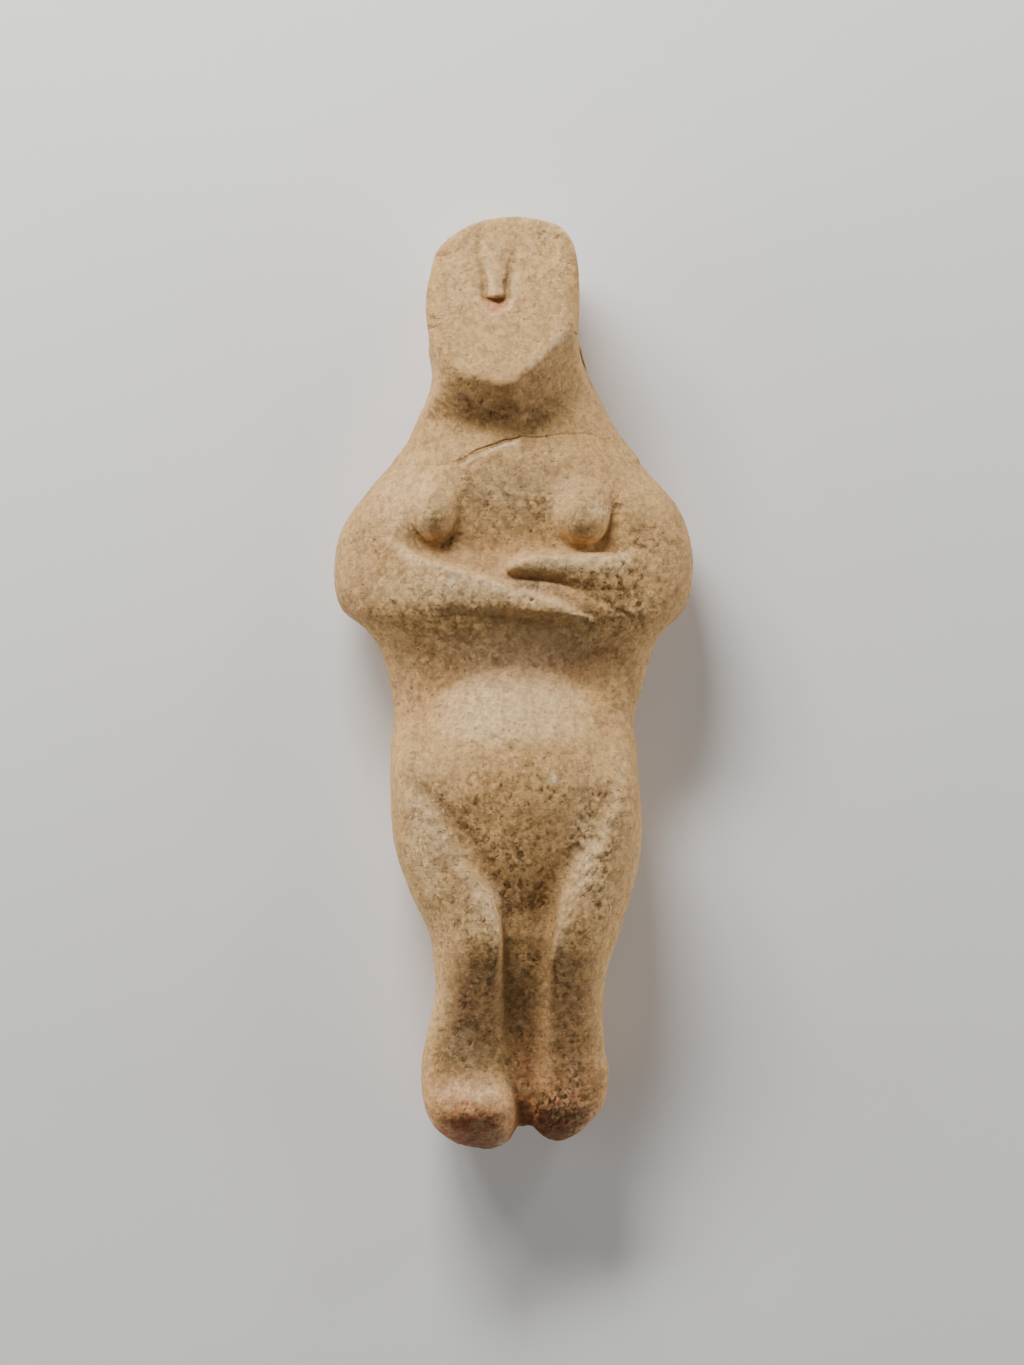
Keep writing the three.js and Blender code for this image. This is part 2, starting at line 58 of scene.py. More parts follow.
# How finely the stone is carved: columns around the body, rings from the crown to the soles, and
# steps in the table of a curve.
FRONT_COLUMNS = 150
SIDE_COLUMNS = 17
BACK_COLUMNS = 46
COLUMNS = FRONT_COLUMNS + BACK_COLUMNS + 2 * SIDE_COLUMNS
RINGS = 430
CAP_RINGS = 26
CURVE_STEPS = 2000


def clamp(value, low, high):
    return np.minimum(np.maximum(value, low), high)


def ramp(start, end, value):
    t = clamp((value - start) / (end - start), 0.0, 1.0)
    return t * t * (3.0 - 2.0 * t)


def through(points, squared=False):
    """A smooth curve through given points, as a function of their first value."""
    knots = np.array(sorted(points), float)
    at, value = knots[:, 0], knots[:, 1]
    if squared:
        value = value * np.abs(value)
    before = np.maximum(np.arange(len(at)) - 1, 0)
    after = np.minimum(np.arange(len(at)) + 1, len(at) - 1)
    slopes = (value[after] - value[before]) / (at[after] - at[before])
    table_at = np.linspace(at[0], at[-1], CURVE_STEPS)
    i = clamp(np.searchsorted(at, table_at, side="right") - 1, 0, len(at) - 2)
    span = at[i + 1] - at[i]
    t = (table_at - at[i]) / span
    rest = 1.0 - t
    table = (
        (1 + 2 * t) * rest * rest * value[i] + t * rest * rest * span * slopes[i]
        + t * t * (3 - 2 * t) * value[i + 1] - t * t * rest * span * slopes[i + 1]
    )
    if squared:
        table = np.sign(table) * np.sqrt(np.abs(table))
    return lambda place: np.interp(place, table_at, table)


# All places on the figurine are in thousandths of its length: x runs across from the middle,
# s from the feet up to the head, z from the back forward.

# The outline seen from the front: (s, x) from the crown to the soles.
outline_left = through([
    (1000, -2), (988, -52), (965, -80), (938, -89), (905, -94), (870, -90), (836, -84),
    (815, -87), (793, -96), (750, -118), (700, -161), (665, -184), (630, -192), (600, -191),
    (577, -182), (560, -161), (540, -145), (514, -136), (472, -128), (440, -129), (400, -132),
    (330, -128), (279, -112), (236, -92), (205, -86), (165, -84), (95, -98), (50, -96),
    (25, -85), (6, -62), (0, -45),
], squared=True)
outline_right = through([
    (1000, 2), (988, 51), (965, 66), (920, 71), (860, 70), (836, 75), (815, 85), (772, 109),
    (729, 142), (686, 178), (643, 192), (610, 192), (580, 184), (557, 162), (536, 150),
    (493, 138), (460, 129), (429, 131), (370, 137), (322, 137), (279, 128), (236, 115),
    (193, 101), (160, 96), (107, 98), (86, 102), (50, 98), (30, 84), (12, 64), (5, 54),
], squared=True)

# Profiles seen from the side: (s, z).
back_profile = through([
    (1000, 58), (985, 36), (955, 22), (900, 17), (850, 26), (815, 26), (770, 10), (720, -2),
    (640, -3), (570, 2), (530, 8), (490, 11), (450, 6), (400, -3), (340, -3), (300, 5),
    (250, 14), (200, 15), (130, 10), (80, 12), (45, 22), (20, 36), (0, 62),
])
trunk_profile = through([
    (860, 70), (835, 92), (810, 114), (780, 131), (750, 139), (720, 145), (690, 148),
    (650, 147), (610, 149), (582, 150), (562, 143), (542, 132), (520, 123), (496, 120),
    (465, 128), (430, 140), (390, 147), (350, 146), (320, 145.5), (295, 145.5), (270, 145),
    (252, 141), (236, 134),
])
neck_profile = through([(880, 126), (800, 132), (775, 131), (750, 118), (730, 100)])
LEFT_LEG_PROFILE = [
    (470, 96), (440, 122), (415, 142), (390, 151), (350, 157), (300, 162), (250, 165),
    (222, 163), (190, 150), (150, 135), (110, 122), (86, 116), (70, 119), (54, 129),
    (40, 132), (25, 123), (12, 104), (0, 80),
]
RIGHT_LEG_PROFILE = [
    (470, 92), (440, 116), (415, 135), (385, 149), (350, 156), (300, 161), (250, 163),
    (222, 159), (190, 147), (150, 134), (115, 124), (98, 120), (80, 116), (55, 112),
    (36, 104), (18, 88), (5, 66),
]
web_profile = through([
    (330, 150), (262, 147), (236, 143), (200, 134), (150, 121), (100, 109), (50, 101), (20, 85),
])
trunk_squareness = through([
    (860, 2.0), (760, 2.1), (700, 2.3), (640, 2.6), (570, 2.7), (520, 2.4), (330, 2.3), (240, 2.2),
])

# The face is a flat shield, tilted back from the chin; its rim is (degrees, radius).
CHIN = Named(x=-4, s=821, z=178)
FACE_TILT = 0.40
FACE_ROLL = 0.06
JAW_SLOPE = 1.4
RIM_CENTRE = Named(x=-12, s=905)
rim_radius = through([
    (-180, 88), (-171, 83), (-147, 86), (-119, 84), (-100, 83), (-85, 84.5), (-70, 76), (-47, 70),
    (-24, 73), (-7, 79), (16, 92), (45, 130), (90, 150), (140, 150), (165, 105), (180, 88),
])
# The nose stands between two grooves: (s, x) of each; a small hollow lies under its tip.
NOSE = Named(
    tip=912, top=980, rise=3.0, groove=5.5, width=6.5, edge=1.5, rise_power=1.4, groove_power=0.6,
    round_power=3,
)
nose_left = through([(985, -37), (960, -37), (940, -33), (925, -30), (912, -31)])
nose_right = through([(985, 0), (960, -1), (940, -4), (925, -7), (912, -7)])
NOSE_PIT = Named(x=-18, s=912, across=19, along=17, depth=8, fullness=0.6)

# Creases where the belly goes down between the thighs: (s, x).
GROIN_LEFT = [
    (560, -400), (450, -175), (430, -142), (408, -118), (373, -77), (355, -58), (328, -38),
    (295, -20), (270, -8), (244, -4), (215, -4),
]
GROIN_RIGHT = [
    (560, 400), (450, 178), (425, 140), (404, 118), (384, 98), (355, 82), (324, 67), (300, 53),
    (269, 41), (239, 35), (215, 33),
]
CREASE = Named(depth=8, inside=20, outside=14, start=420, full=350, low=262, end=220, deep=115)
GROIN_SLOPE = 0.7
groin_left, groin_right = through(GROIN_LEFT), through(GROIN_RIGHT)
CHEST_HOLLOW = Named(
    x=3, depth=14, inner=98, outer=122, top=745, full=665, low=590, foot=655, deep=100,
)
BELLY = Named(x=3, s=386, across=132, along=132, swell=28, fullness=1.1)
BREASTS = [
    Named(x=-84, s=688, z=126, across=25, up=30, down=37, out=32),
    Named(x=73, s=678, z=124, across=30, up=36, down=31, out=35),
]
# Above its middle a breast runs more softly into the chest.
BREAST_FADE = Named(start=-4, end=30, radius=12)

# The head draws in a little at its foot, and the neck at its foot and its top, so that neither
# leaves a ledge where they meet; the trunk's back is squarer.
HEAD = Named(
    high=860, low=830, slimming=0.02, lift=3, front=236, front_power=3.4, back_power=2.4,
    face_cut=0.9, jaw_cut=0.6, jaw_lift=3, crown_radius=8,
)
NECK = Named(
    high=840, low=815, slimming=0.02, lift=3, top_from=838, top_to=862, top_slimming=0.03,
    top_lift=4, front_power=2.3, back_power=2.4, top_radius=3, foot_radius=4,
)
TRUNK_BACK_POWER = 2.8

# Forearms run across the body: upper edge, lower edge and height of the front, by x.
LEFT_FOREARM = Named(
    upper=[
        (-200, 690), (-160, 668), (-122, 648), (-77, 630), (-33, 616), (5, 602), (49, 588),
        (75, 573), (90, 560),
    ],
    lower=[(-200, 590), (-143, 586), (-84, 578), (-44, 575), (5, 572), (60, 569), (90, 567)],
    front=[
        (-200, 84), (-165, 112), (-140, 131), (-110, 147), (-77, 155), (-33, 158), (5, 158),
        (42, 156), (62, 152), (78, 145), (90, 138),
    ],
    start=-152, end=86, ridge=8, power=2.7,
)
RIGHT_FOREARM = Named(
    upper=[(-12, 618), (-4, 630), (19, 639), (75, 640), (122, 640), (160, 650), (200, 660)],
    lower=[
        (-12, 617), (-4, 616), (27, 613), (52, 609), (78, 598), (102, 587), (122, 578),
        (160, 566), (200, 560),
    ],
    front=[
        (-14, 145), (-4, 152), (19, 156), (75, 156), (110, 149), (135, 137), (165, 110),
        (200, 80),
    ],
    start=-8, end=150, ridge=9, power=2.1,
)
# Both forearms: how far behind their front the deepest and the widest places lie.
FOREARM = Named(deep=50, side=16, thinnest=2, back_power=2.0)

# Legs: the crest of each thigh and shin, and the inner edge towards the groove: (s, x).
# The crest keeps a margin from the outer and the inner edge.
LEFT_CREST = [
    (440, -108), (417, -110), (375, -104), (343, -80), (308, -58), (278, -38), (250, -20),
    (223, -16), (190, -24), (130, -40), (60, -46), (0, -46),
]
RIGHT_CREST = [
    (440, 108), (410, 114), (383, 112), (355, 106), (322, 88), (290, 70), (267, 58),
    (222, 48), (190, 46), (130, 52), (60, 58), (0, 58),
]
inner_left = through([
    (460, -60), (430, -60), (408, -50), (380, -30), (343, -8), (310, 2), (279, 0), (250, -6),
    (214, -8), (171, -6), (129, -3), (86, 2), (43, 4), (20, 1), (6, -6), (0, -12),
])
inner_right = through([
    (460, 60), (430, 58), (404, 50), (380, 38), (343, 24), (310, 26), (279, 30), (250, 35),
    (214, 34), (171, 29), (129, 26), (86, 22), (43, 19), (22, 24), (5, 40),
])
HIP_INSET = Named(depth=10, start=400, end=475, top=466)
LEG = Named(
    thigh_power=2.3, shin_squarer=0.9, thigh_end=240, shin_start=180, back_power=2.6,
    margins=(16, 6), top_radius=10,
)
LEFT_SOLE, RIGHT_SOLE = Named(start=-1, radius=14, lift=0), Named(start=8, radius=12, lift=2)
WEB = Named(
    left=-30, middle=14, right=58, back=24, top=330, top_radius=4, front_power=4.0,
    back_power=3.0, sole=24, notch=10, notch_slope=0.3, notch_radius=5,
)
# The height at which each form is widest, and how softly the forms run into each other.
SIDE = Named(head=84, neck=78, trunk=70, legs=74, web=60)
SOFT = Named(
    face=3, jaw=5, neck=5, breast=7, forearm=4, trunk=6, groin=12, web=8, hip=12, rest=2,
)
LIMITS = Named(
    crown=1001, head_foot=770, neck_top=868, neck_foot=740, trunk_top=862, trunk_foot=236,
)
CLEFT = Named(rise=24, start=360, end=262)
SECTION = Named(least=2.0, most=60.0)

# Where the rays start from, and how they find the surface.
CORE = Named(margin=28, height=68, head=955, feet=45)
MIDDLE = (0, 500, CORE.height)
CREASE_COLUMNS = Named(share=0.24, start=345, full=285, swap=262, over=12)
RAY = Named(length=130, step=5, halvings=12)

# Lines drawn into the surface: places (x, s), how wide and how deep.
FRONT_STROKES = {
    "mended break": (
        [(-107, 734), (-68, 734), (-53, 740), (-40, 749), (-14, 758), (7, 763)], 1.15, 2.0,
    ),
    "right half of the break": (
        [(7, 763), (28, 763), (56, 766), (84, 767), (93, 762), (101, 760), (109, 764)], 1.1, 1.2,
    ),
    "break filling": ([(-55, 737), (-40, 746), (-20, 754), (-2, 759)], 3.2, 1.6),
    "lower edge of the left forearm": (
        [(-176, 588), (-140, 582), (-84, 576), (-44, 573), (5, 570), (60, 568), (80, 567)], 2.2, 1.6,
    ),
    "between the forearms": (
        [(-5, 613), (20, 612), (52, 606), (76, 596), (98, 584), (112, 575)], 3.4, 1.2,
    ),
    "second ridge of the right arm": ([(55, 600), (90, 588), (122, 573), (137, 562)], 2.6, 1.0),
}
BACK_STROKES = {
    "spine": ([(2, 800), (2, 760), (3, 600), (4, 470)], 4.5, 5.5),
    "left arm behind": ([(-150, 560), (-120, 590), (-100, 640)], 4, 3.5),
    "right arm behind": ([(152, 560), (122, 590), (104, 640)], 4, 3.5),
    "seat": ([(-70, 330), (-30, 318), (8, 322), (45, 316), (80, 330)], 4.5, 3),
}

# Patches of the front: (x, s, across, along, amount).
ROUGH_PATCHES = [
    (-30, 400, 90, 90, 0.4), (90, 684, 20, 14, 0.6), (112, 610, 50, 45, 0.8), (-36, 245, 26, 24, 0.8),
    (-50, 52, 30, 22, 0.9), (62, 48, 36, 34, 0.9), (90, 340, 34, 70, 0.7), (0, 560, 110, 14, 0.3),
    (-80, 900, 30, 60, 0.3), (40, 960, 40, 30, 0.5), (-150, 640, 40, 60, 0.3),
]
SMOOTH_PATCHES = [
    (0, 530, 120, 34, 1.0), (-52, 150, 26, 80, 0.8), (60, 150, 26, 80, 0.5),
    (12, 160, 18, 120, 1.0), (76, 658, 26, 18, 0.9), (-80, 650, 24, 24, 0.6), (50, 350, 22, 24, 0.6),
    (-55, 18, 30, 20, 0.9), (-18, 940, 28, 44, 0.9), (-10, 850, 60, 40, 0.4), (0, 790, 90, 30, 0.5),
]
# Patches of painted highlight on the lit forearms, thighs, chest and feet: (x, s, across, along,
# amount).
PAINTED_HIGHLIGHTS = [
    (-60, 598, 80, 16, 1.0), (60, 628, 50, 10, 1.0), (-95, 330, 26, 64, 0.9), (-30, 262, 22, 26, 0.8),
    (80, 320, 20, 64, 0.8), (0, 700, 70, 34, 0.7), (-110, 690, 34, 40, 0.6), (-30, 50, 40, 20, 0.5),
]
# Painted highlights along the lit upper edges of the forearms and the crests of the thighs, and painted
# shadows along the crease above the left forearm and along the groins.
PAINTED_EDGE_LIGHT_AND_SHADE = [
    # places (x, s), how far above them, width, mask, amount
    (LEFT_FOREARM.upper[2:8], -6, 6, "worn", 0.9),
    (LEFT_FOREARM.upper[2:7], 6, 6, "hollow", 0.5),
    (RIGHT_FOREARM.upper[1:5], -5, 5, "worn", 0.8),
    ([(x, s) for s, x in LEFT_CREST[2:8]], 0, 8, "worn", 0.7),
    ([(x, s) for s, x in RIGHT_CREST[1:8]], 0, 8, "worn", 0.6),
    ([(x, s) for s, x in GROIN_LEFT[2:8]], 0, 8, "hollow", 0.35),
    ([(x, s) for s, x in GROIN_RIGHT[2:9]], 0, 8, "hollow", 0.3),
]
# Patches of painted shade where the waist, the shins, the groove between the legs, the chest and the
# under jaw fall in shade: (x, s, across, along, amount).
PAINTED_SHADE_PATCHES = [
    (-20, 520, 90, 28, 1.1), (60, 530, 60, 22, 0.8), (-52, 150, 26, 74, 1.4), (60, 150, 24, 70, 1.1),
    (-10, 800, 60, 14, 0.2), (12, 150, 16, 110, 0.6), (0, 440, 80, 50, 0.2), (44, 838, 12, 12, 0.8),
    (30, 822, 14, 10, 0.7), (64, 862, 8, 14, 0.6), (-25, 655, 40, 18, 0.15),
]
PIT_FIELDS = [
    # x, s, across, along, how many, smallest, largest, depth
    (0, 500, 190, 500, 360, 2.6, 5.5, 1.5),
    (146, 622, 44, 46, 300, 2.6, 7.5, 2.6),
    (118, 598, 24, 14, 14, 3.0, 7.0, 2.4),
    (44, 390, 14, 16, 16, 3.0, 6.0, 3.2),
    (92, 330, 30, 66, 130, 2.6, 6.5, 2.4),
    (-36, 245, 26, 24, 22, 2.4, 5.0, 2.2),
    (62, 48, 38, 34, 60, 2.6, 6.0, 1.9),
    (-50, 52, 28, 22, 26, 2.4, 5.0, 2.2),
    (20, 598, 28, 12, 14, 3.0, 6.0, 3.0),
    (-60, 650, 18, 14, 10, 3.0, 6.0, 3.0),
]
NAMED_PITS = [
    # x, s, radius, depth
    (116, 373, 7, 3.5), (104, 345, 5, 3), (80, 332, 6, 3), (71, 320, 5, 2.5), (94, 308, 6, 3),
    (90, 261, 5, 3), (116, 590, 8, 2.4), (130, 600, 6, 2.2), (104, 582, 5, 1.6), (-66, 611, 5, 2.5),
]
# The size and depth of scattered pits, and where a pit's brim and bottom lie in its radius.
PIT_SHAPE = Named(size_power=2.5, shallowest=0.4, reach=1.3, brim=1.25, bottom=0.2)
SEED = 7

# Dark dirt, red deposits and pale scars: (x, s, across, along, amount).
DEPOSITS = {
    "dark": [
        (-52, 800, 12, 9, 0.9), (-12, 788, 30, 9, 0.8), (20, 603, 26, 9, 0.7), (-66, 648, 10, 12, 0.5),
        (36, 800, 22, 12, 0.5),
    ],
    "red": [
        (-52, 16, 42, 26, 1.4), (30, 22, 28, 18, 0.9), (12, 70, 16, 70, 0.5), (-18, 903, 15, 9, 1.2),
        (-25, 52, 30, 26, 0.35), (60, 54, 38, 44, 0.8), (-60, 56, 28, 22, 0.4), (-18, 640, 60, 24, 0.12),
    ],
    "pale": [
        (-1, 755, 7, 2, 0.9), (43, 398, 3.5, 3, 1.0), (-65, 611, 5, 3, 0.9), (90, 684, 12, 5, 0.35),
        (-10, 6, 8, 4, 0.8), (47, 866, 6, 5, 0.35),
    ],
}
# Darker along the nose grooves: amount, width, and where it fades in by s and by z.
NOSE_GROOVE_DARKENING = Named(amount=0.6, width=5.0, tip=(908, 914), top=(982, 960), height=(110, 130))
PALE_EDGES = [
    # places (x, s), width, amount
    ([(-50, 736), (-32, 744), (-10, 754), (6, 759)], 1.1, 0.6),
    ([(18, 836), (30, 848), (44, 862), (56, 880)], 2.5, 0.3),
]

# How steeply a vertex must face up, or down for the back, before a thing shows on it: from, to.
# The stains entry sets on which faces the patches and lines of painted shade and painted highlight show.
FACING = Named(front=(0.15, 0.55), back=(-0.05, 0.35), pits=(0.3, 0.62), stains=(0.3, 0.8))
# How far lines and pits stray, over how wide a stretch, and the seeds of the two ways.
STRAY = Named(lines=(0.9, 9, 3, 4), pits=(2.6, 5, 6, 7))
STROKE = Named(uneven=0.3, size=9, seed=21, narrowing=1.4)
# The surface is rougher in some patches, and this share drifts over the whole stone.
ROUGHNESS = Named(plain=0.42, least=0.1, most=1.8)
DRIFT = Named(middle=0.8, swing=0.5, size=60, seed=5, least=0.4, most=1.3)
GRAIN = [
    # height, size, seed, whether it is folded up into bumps
    (0.9, 30, 10, False), (0.6, 13, 11, False), (1.3, 6.5, 12, True), (0.7, 4.6, 13, True),
]
FOLD_MEAN = 0.25
MASK_FULL = Named(pitted=2.5, rough=1.6)
# Hollows and edges show by how much stone there is a little way outside the surface.
PROBE = Named(out=7.0, hollow_power=1.5, flat=0.93, most=0.2, gain=5)
# Below this height the stone rests on the floor, and isn't weathered.
RESTING = 2.5

# Odd numbers that scatter the cells of a lattice, and the largest number of 32 bits.
SCATTER = (374761393, 668265263, 1442695041, 974634777, 1274126177)
WORD = 0xFFFFFFFF

# Blotches in the stone: how many to a metre, detail, roughness, and the levels they fade between.
BLOTCHES = {
    "clouds": (45.0, 5.0, 0.55, 0.36, 0.64),
    "stains": (130.0, 6.0, 0.62, 0.42, 0.66),
    "specks": (2600.0, 2.0, 0.5, 0.60, 0.72),
    "patchy": (420.0, 4.0, 0.65, 0.40, 0.58),
}
# Colours that lie on the stone by a mask, from the first to the last: mask, share, colour.
# The hollow mask lays dirt and painted shade, and the worn mask paler wear and painted highlights.
UNDER_COLOURS = [("hollow", 0.42, "dirt_and_shade"), ("pitted", 0.35, "dirt_and_shade"), ("worn", 0.55, "pale")]
# The same, broken up by the patchy noise: mask, how much it varies, the least, colour.
BROKEN_COLOURS = [("red", 0.6, 0.35, "rust"), ("dark", 1.0, 0.0, "soot"), ("pale", 0.5, 0.5, "scar")]
# How much of each of the other colours lies on the stone.
SHARES = Named(ochre=0.35, crack=0.35, holes=0.42, specks=0.22)
HOLES = [
    # how many to a metre, rim, which cells have one, how many more on smooth stone, depth in metres
    (720.0, (0.17, 0.27), (0.50, 0.60), 0.30, 0.00022),
    (330.0, (0.14, 0.20), (0.62, 0.68), 0.15, 0.00045),
]
HOLE_DRIFT = Named(scale=700.0, detail=3.0, roughness=0.5, share=0.0016)
CRYSTALS = [(560.0, 0.5), (1150.0, 1.0)]
CRYSTAL_SHADES = ((0.15, 0.80), (0.5, 1.0), (0.85, 1.14))
FACETS = Named(scales=(620.0, 1300.0), height=0.9, rough=0.46, plain=0.24)
SHEEN = Named(rougher=0.12, roughness=0.62, ior=1.45, specular=0.25)
FLOOR = Named(size=6.0, scale=9.0, detail=3.0, roughness=0.85)

LIGHTS = [
    # name, place, size, which setting and which share of it
    ("key", (-0.20, 0.70, 0.45), (0.34, 0.14), "key", 1.0),
    ("left_key", (-0.50, 0.66, 0.45), (0.20, 0.16), "key", 0.38),
    ("right_key", (0.56, 0.62, 0.45), (0.20, 0.16), "key", 0.14),
    ("left_side", (-0.76, 0.02, 0.125), (0.5, 0.10), "sides", 1.0),
    ("right_side", (0.76, 0.02, 0.125), (0.5, 0.10), "sides", 1.0),
]
# The place that the camera height is measured from.
CAMERA = Named(place=(-0.00035, 0.00024, 0.017), sensor=36.0, nearest=0.01)


def join(a, b, radius):
    mix = clamp(0.5 + 0.5 * (b - a) / radius, 0.0, 1.0)
    return b + (a - b) * mix - radius * mix * (1.0 - mix)


def trim(a, b, radius):
    return -join(-a, -b, radius)


def swelling(x, s, bump):
    inside = 1.0 - ((x - bump.x) / bump.across) ** 2 - ((s - bump.s) / bump.along) ** 2
    return np.maximum(inside, 0.0)


def section(x, z, left, crest, right, back, side, front, front_power, back_power):
    """A section across a form: widest at the height side, highest over crest, deepest halfway."""
    above = z > side
    middle = np.where(above, crest, (left + right) / 2)
    half = np.maximum(np.where(x < middle, middle - left, right - middle), SECTION.least)
    reach = np.maximum(np.where(above, front - side, side - back), SECTION.least)
    power = np.where(above, front_power, back_power)
    gauge = (np.abs((x - middle) / half) ** power + np.abs((z - side) / reach) ** power) ** (1 / power)
    return (gauge - 1.0) * np.minimum(np.minimum(half, reach), SECTION.most)


def shield(x, s):
    return CHIN.z - FACE_TILT * (s - CHIN.s) + FACE_ROLL * (x - CHIN.x)


def past_rim(x, s):
    """How far a place lies outside the rim of the shield."""
    dx, ds = x - RIM_CENTRE.x, s - RIM_CENTRE.s
    return np.hypot(dx, ds) - rim_radius(np.degrees(np.arctan2(ds, dx)))


def face(x, s):
    down = clamp((NOSE.top - s) / (NOSE.top - NOSE.tip), 0.0, 1.0)
    on = ramp(NOSE.tip - NOSE.edge, NOSE.tip + NOSE.edge, s)
    left, right = nose_left(s), nose_right(s)
    across = np.abs(x - (left + right) / 2) / ((right - left) / 2)
    rounded = clamp(1 - across ** NOSE.round_power, 0, 1)
    ridge = NOSE.rise * down ** NOSE.rise_power * on * rounded
    beside = np.minimum(np.abs(x - left), np.abs(x - right)) / NOSE.width
    groove = NOSE.groove * down ** NOSE.groove_power * on * np.exp(-beside * beside)
    pit = NOSE_PIT.depth * swelling(x, s, NOSE_PIT) ** NOSE_PIT.fullness * (1 - on)
    return shield(x, s) + ridge - groove - pit


def shaft(x, s, z, slim, back, side, front, front_power, back_power):
    """A shaft of stone that fills a share of the outline's width."""
    left, right = outline_left(s), outline_right(s)
    return section(
        x, z, left * slim, (left + right) / 2, right * slim, back,
        side, front, front_power, back_power,
    )


def head(x, s, z):
    low = ramp(HEAD.high, HEAD.low, s)
    form = shaft(
        x, s, z, 1 - HEAD.slimming * low, back_profile(s) + HEAD.lift * low,
        SIDE.head, HEAD.front, HEAD.front_power, HEAD.back_power,
    )
    faced = trim(form, (z - face(x, s)) * HEAD.face_cut, SOFT.face)
    under_jaw = z - shield(x, s) - HEAD.jaw_lift + JAW_SLOPE * past_rim(x, s)
    jawed = trim(faced, under_jaw * HEAD.jaw_cut, SOFT.jaw)
    crowned = trim(jawed, s - LIMITS.crown, HEAD.crown_radius)
    return trim(crowned, LIMITS.head_foot - s, SOFT.trunk)


def neck(x, s, z):
    low = ramp(NECK.high, NECK.low, s)
    high = ramp(NECK.top_from, NECK.top_to, s)
    form = shaft(
        x, s, z, 1 - NECK.slimming * low - NECK.top_slimming * high,
        back_profile(s) + NECK.lift * low + NECK.top_lift * high,
        SIDE.neck, neck_profile(s), NECK.front_power, NECK.back_power,
    )
    topped = trim(form, s - LIMITS.neck_top, NECK.top_radius)
    return trim(topped, LIMITS.neck_foot - s, NECK.foot_radius)


def trunk(x, s, z):
    """Chest, waist and belly, cut to a point between the thighs."""
    hollow = (
        CHEST_HOLLOW.depth
        * ramp(CHEST_HOLLOW.outer, CHEST_HOLLOW.inner, np.abs(x - CHEST_HOLLOW.x))
        * ramp(CHEST_HOLLOW.top, CHEST_HOLLOW.full, s)
        * ramp(CHEST_HOLLOW.low, CHEST_HOLLOW.foot, s)
    )
    belly = BELLY.swell * swelling(x, s, BELLY) ** BELLY.fullness
    carved = z + (hollow - belly) * ramp(SIDE.trunk, CHEST_HOLLOW.deep, z)
    form = shaft(
        x, s, carved, 1, back_profile(s) + CLEFT.rise * ramp(CLEFT.start, CLEFT.end, s),
        SIDE.trunk, trunk_profile(s), trunk_squareness(s), TRUNK_BACK_POWER,
    )
    form = trim(form, (groin_left(s) - x) * GROIN_SLOPE, SOFT.groin)
    form = trim(form, (x - groin_right(s)) * GROIN_SLOPE, SOFT.groin)
    topped = trim(form, s - LIMITS.trunk_top, SOFT.trunk)
    return trim(topped, LIMITS.trunk_foot - s, SOFT.trunk)


def breast(x, s, z, shape):
    along = np.where(s > shape.s, shape.up, shape.down)
    reach = np.sqrt(
        ((x - shape.x) / shape.across) ** 2 + ((s - shape.s) / along) ** 2
        + ((z - shape.z) / shape.out) ** 2
    )
    return (reach - 1.0) * min(shape.across, shape.down, shape.out)


def make_forearm(arm):
    upper, lower, front = through(arm.upper), through(arm.lower), through(arm.front)

    def forearm(x, s, z):
        top, foot, forward = upper(x), lower(x), front(x)
        form = section(
            s, z, foot, clamp(top - arm.ridge, (top + foot) / 2, top),
            np.maximum(top, foot + FOREARM.thinnest), forward - FOREARM.deep,
            forward - FOREARM.side, forward, arm.power, FOREARM.back_power,
        )
        return trim(trim(form, arm.start - x, SOFT.forearm), x - arm.end, SOFT.forearm)

    return forearm


def make_leg(outward, outline, profile, crest, inner_edge, sole):
    """A leg from the hip to the sole; outward is -1 on the left of the outline, 1 on the right."""
    height, ridge = through(profile), through(crest)
    margins = LEG.margins[::-outward]

    def leg(x, s, z):
        inset = HIP_INSET.depth * ramp(HIP_INSET.start, HIP_INSET.end, s)
        outer, inside = outline(s) - outward * inset, inner_edge(s)
        left, right = (outer, inside)[::-outward]
        form = section(
            x, z, left, clamp(ridge(s), left + margins[0], right - margins[1]), right,
            back_profile(s) + inset + sole.lift, SIDE.legs, height(s),
            LEG.thigh_power + LEG.shin_squarer * ramp(LEG.thigh_end, LEG.shin_start, s),
            LEG.back_power,
        )
        return trim(trim(form, s - HIP_INSET.top, LEG.top_radius), sole.start - s, sole.radius)

    return leg


def web(x, s, z):
    """The thin wall of stone left standing between the legs."""
    form = section(
        x, z, WEB.left, WEB.middle, WEB.right, WEB.back, SIDE.web, web_profile(s),
        WEB.front_power, WEB.back_power,
    )
    notch = WEB.sole - s + WEB.notch_slope * np.abs(x - WEB.notch)
    return trim(trim(form, s - WEB.top, WEB.top_radius), notch, WEB.notch_radius)


FOREARMS = [make_forearm(arm) for arm in (RIGHT_FOREARM, LEFT_FOREARM)]
LEGS = [
    make_leg(-1, outline_left, LEFT_LEG_PROFILE, LEFT_CREST, inner_left, LEFT_SOLE),
    make_leg(1, outline_right, RIGHT_LEG_PROFILE, RIGHT_CREST, inner_right, RIGHT_SOLE),
]


def crease(x, s):
    """How deep the creases beside the belly are at each place."""
    along = ramp(CREASE.start, CREASE.full, s) * ramp(CREASE.end, CREASE.low, s)
    deepest = np.zeros_like(x)
    for line, outward in ((groin_left, -1), (groin_right, 1)):
        out = (x - line(s)) * outward * GROIN_SLOPE
        width = np.where(out > 0, CREASE.outside, CREASE.inside)
        deepest = np.maximum(deepest, np.exp(-(out / width) ** 2))
    return CREASE.depth * along * deepest


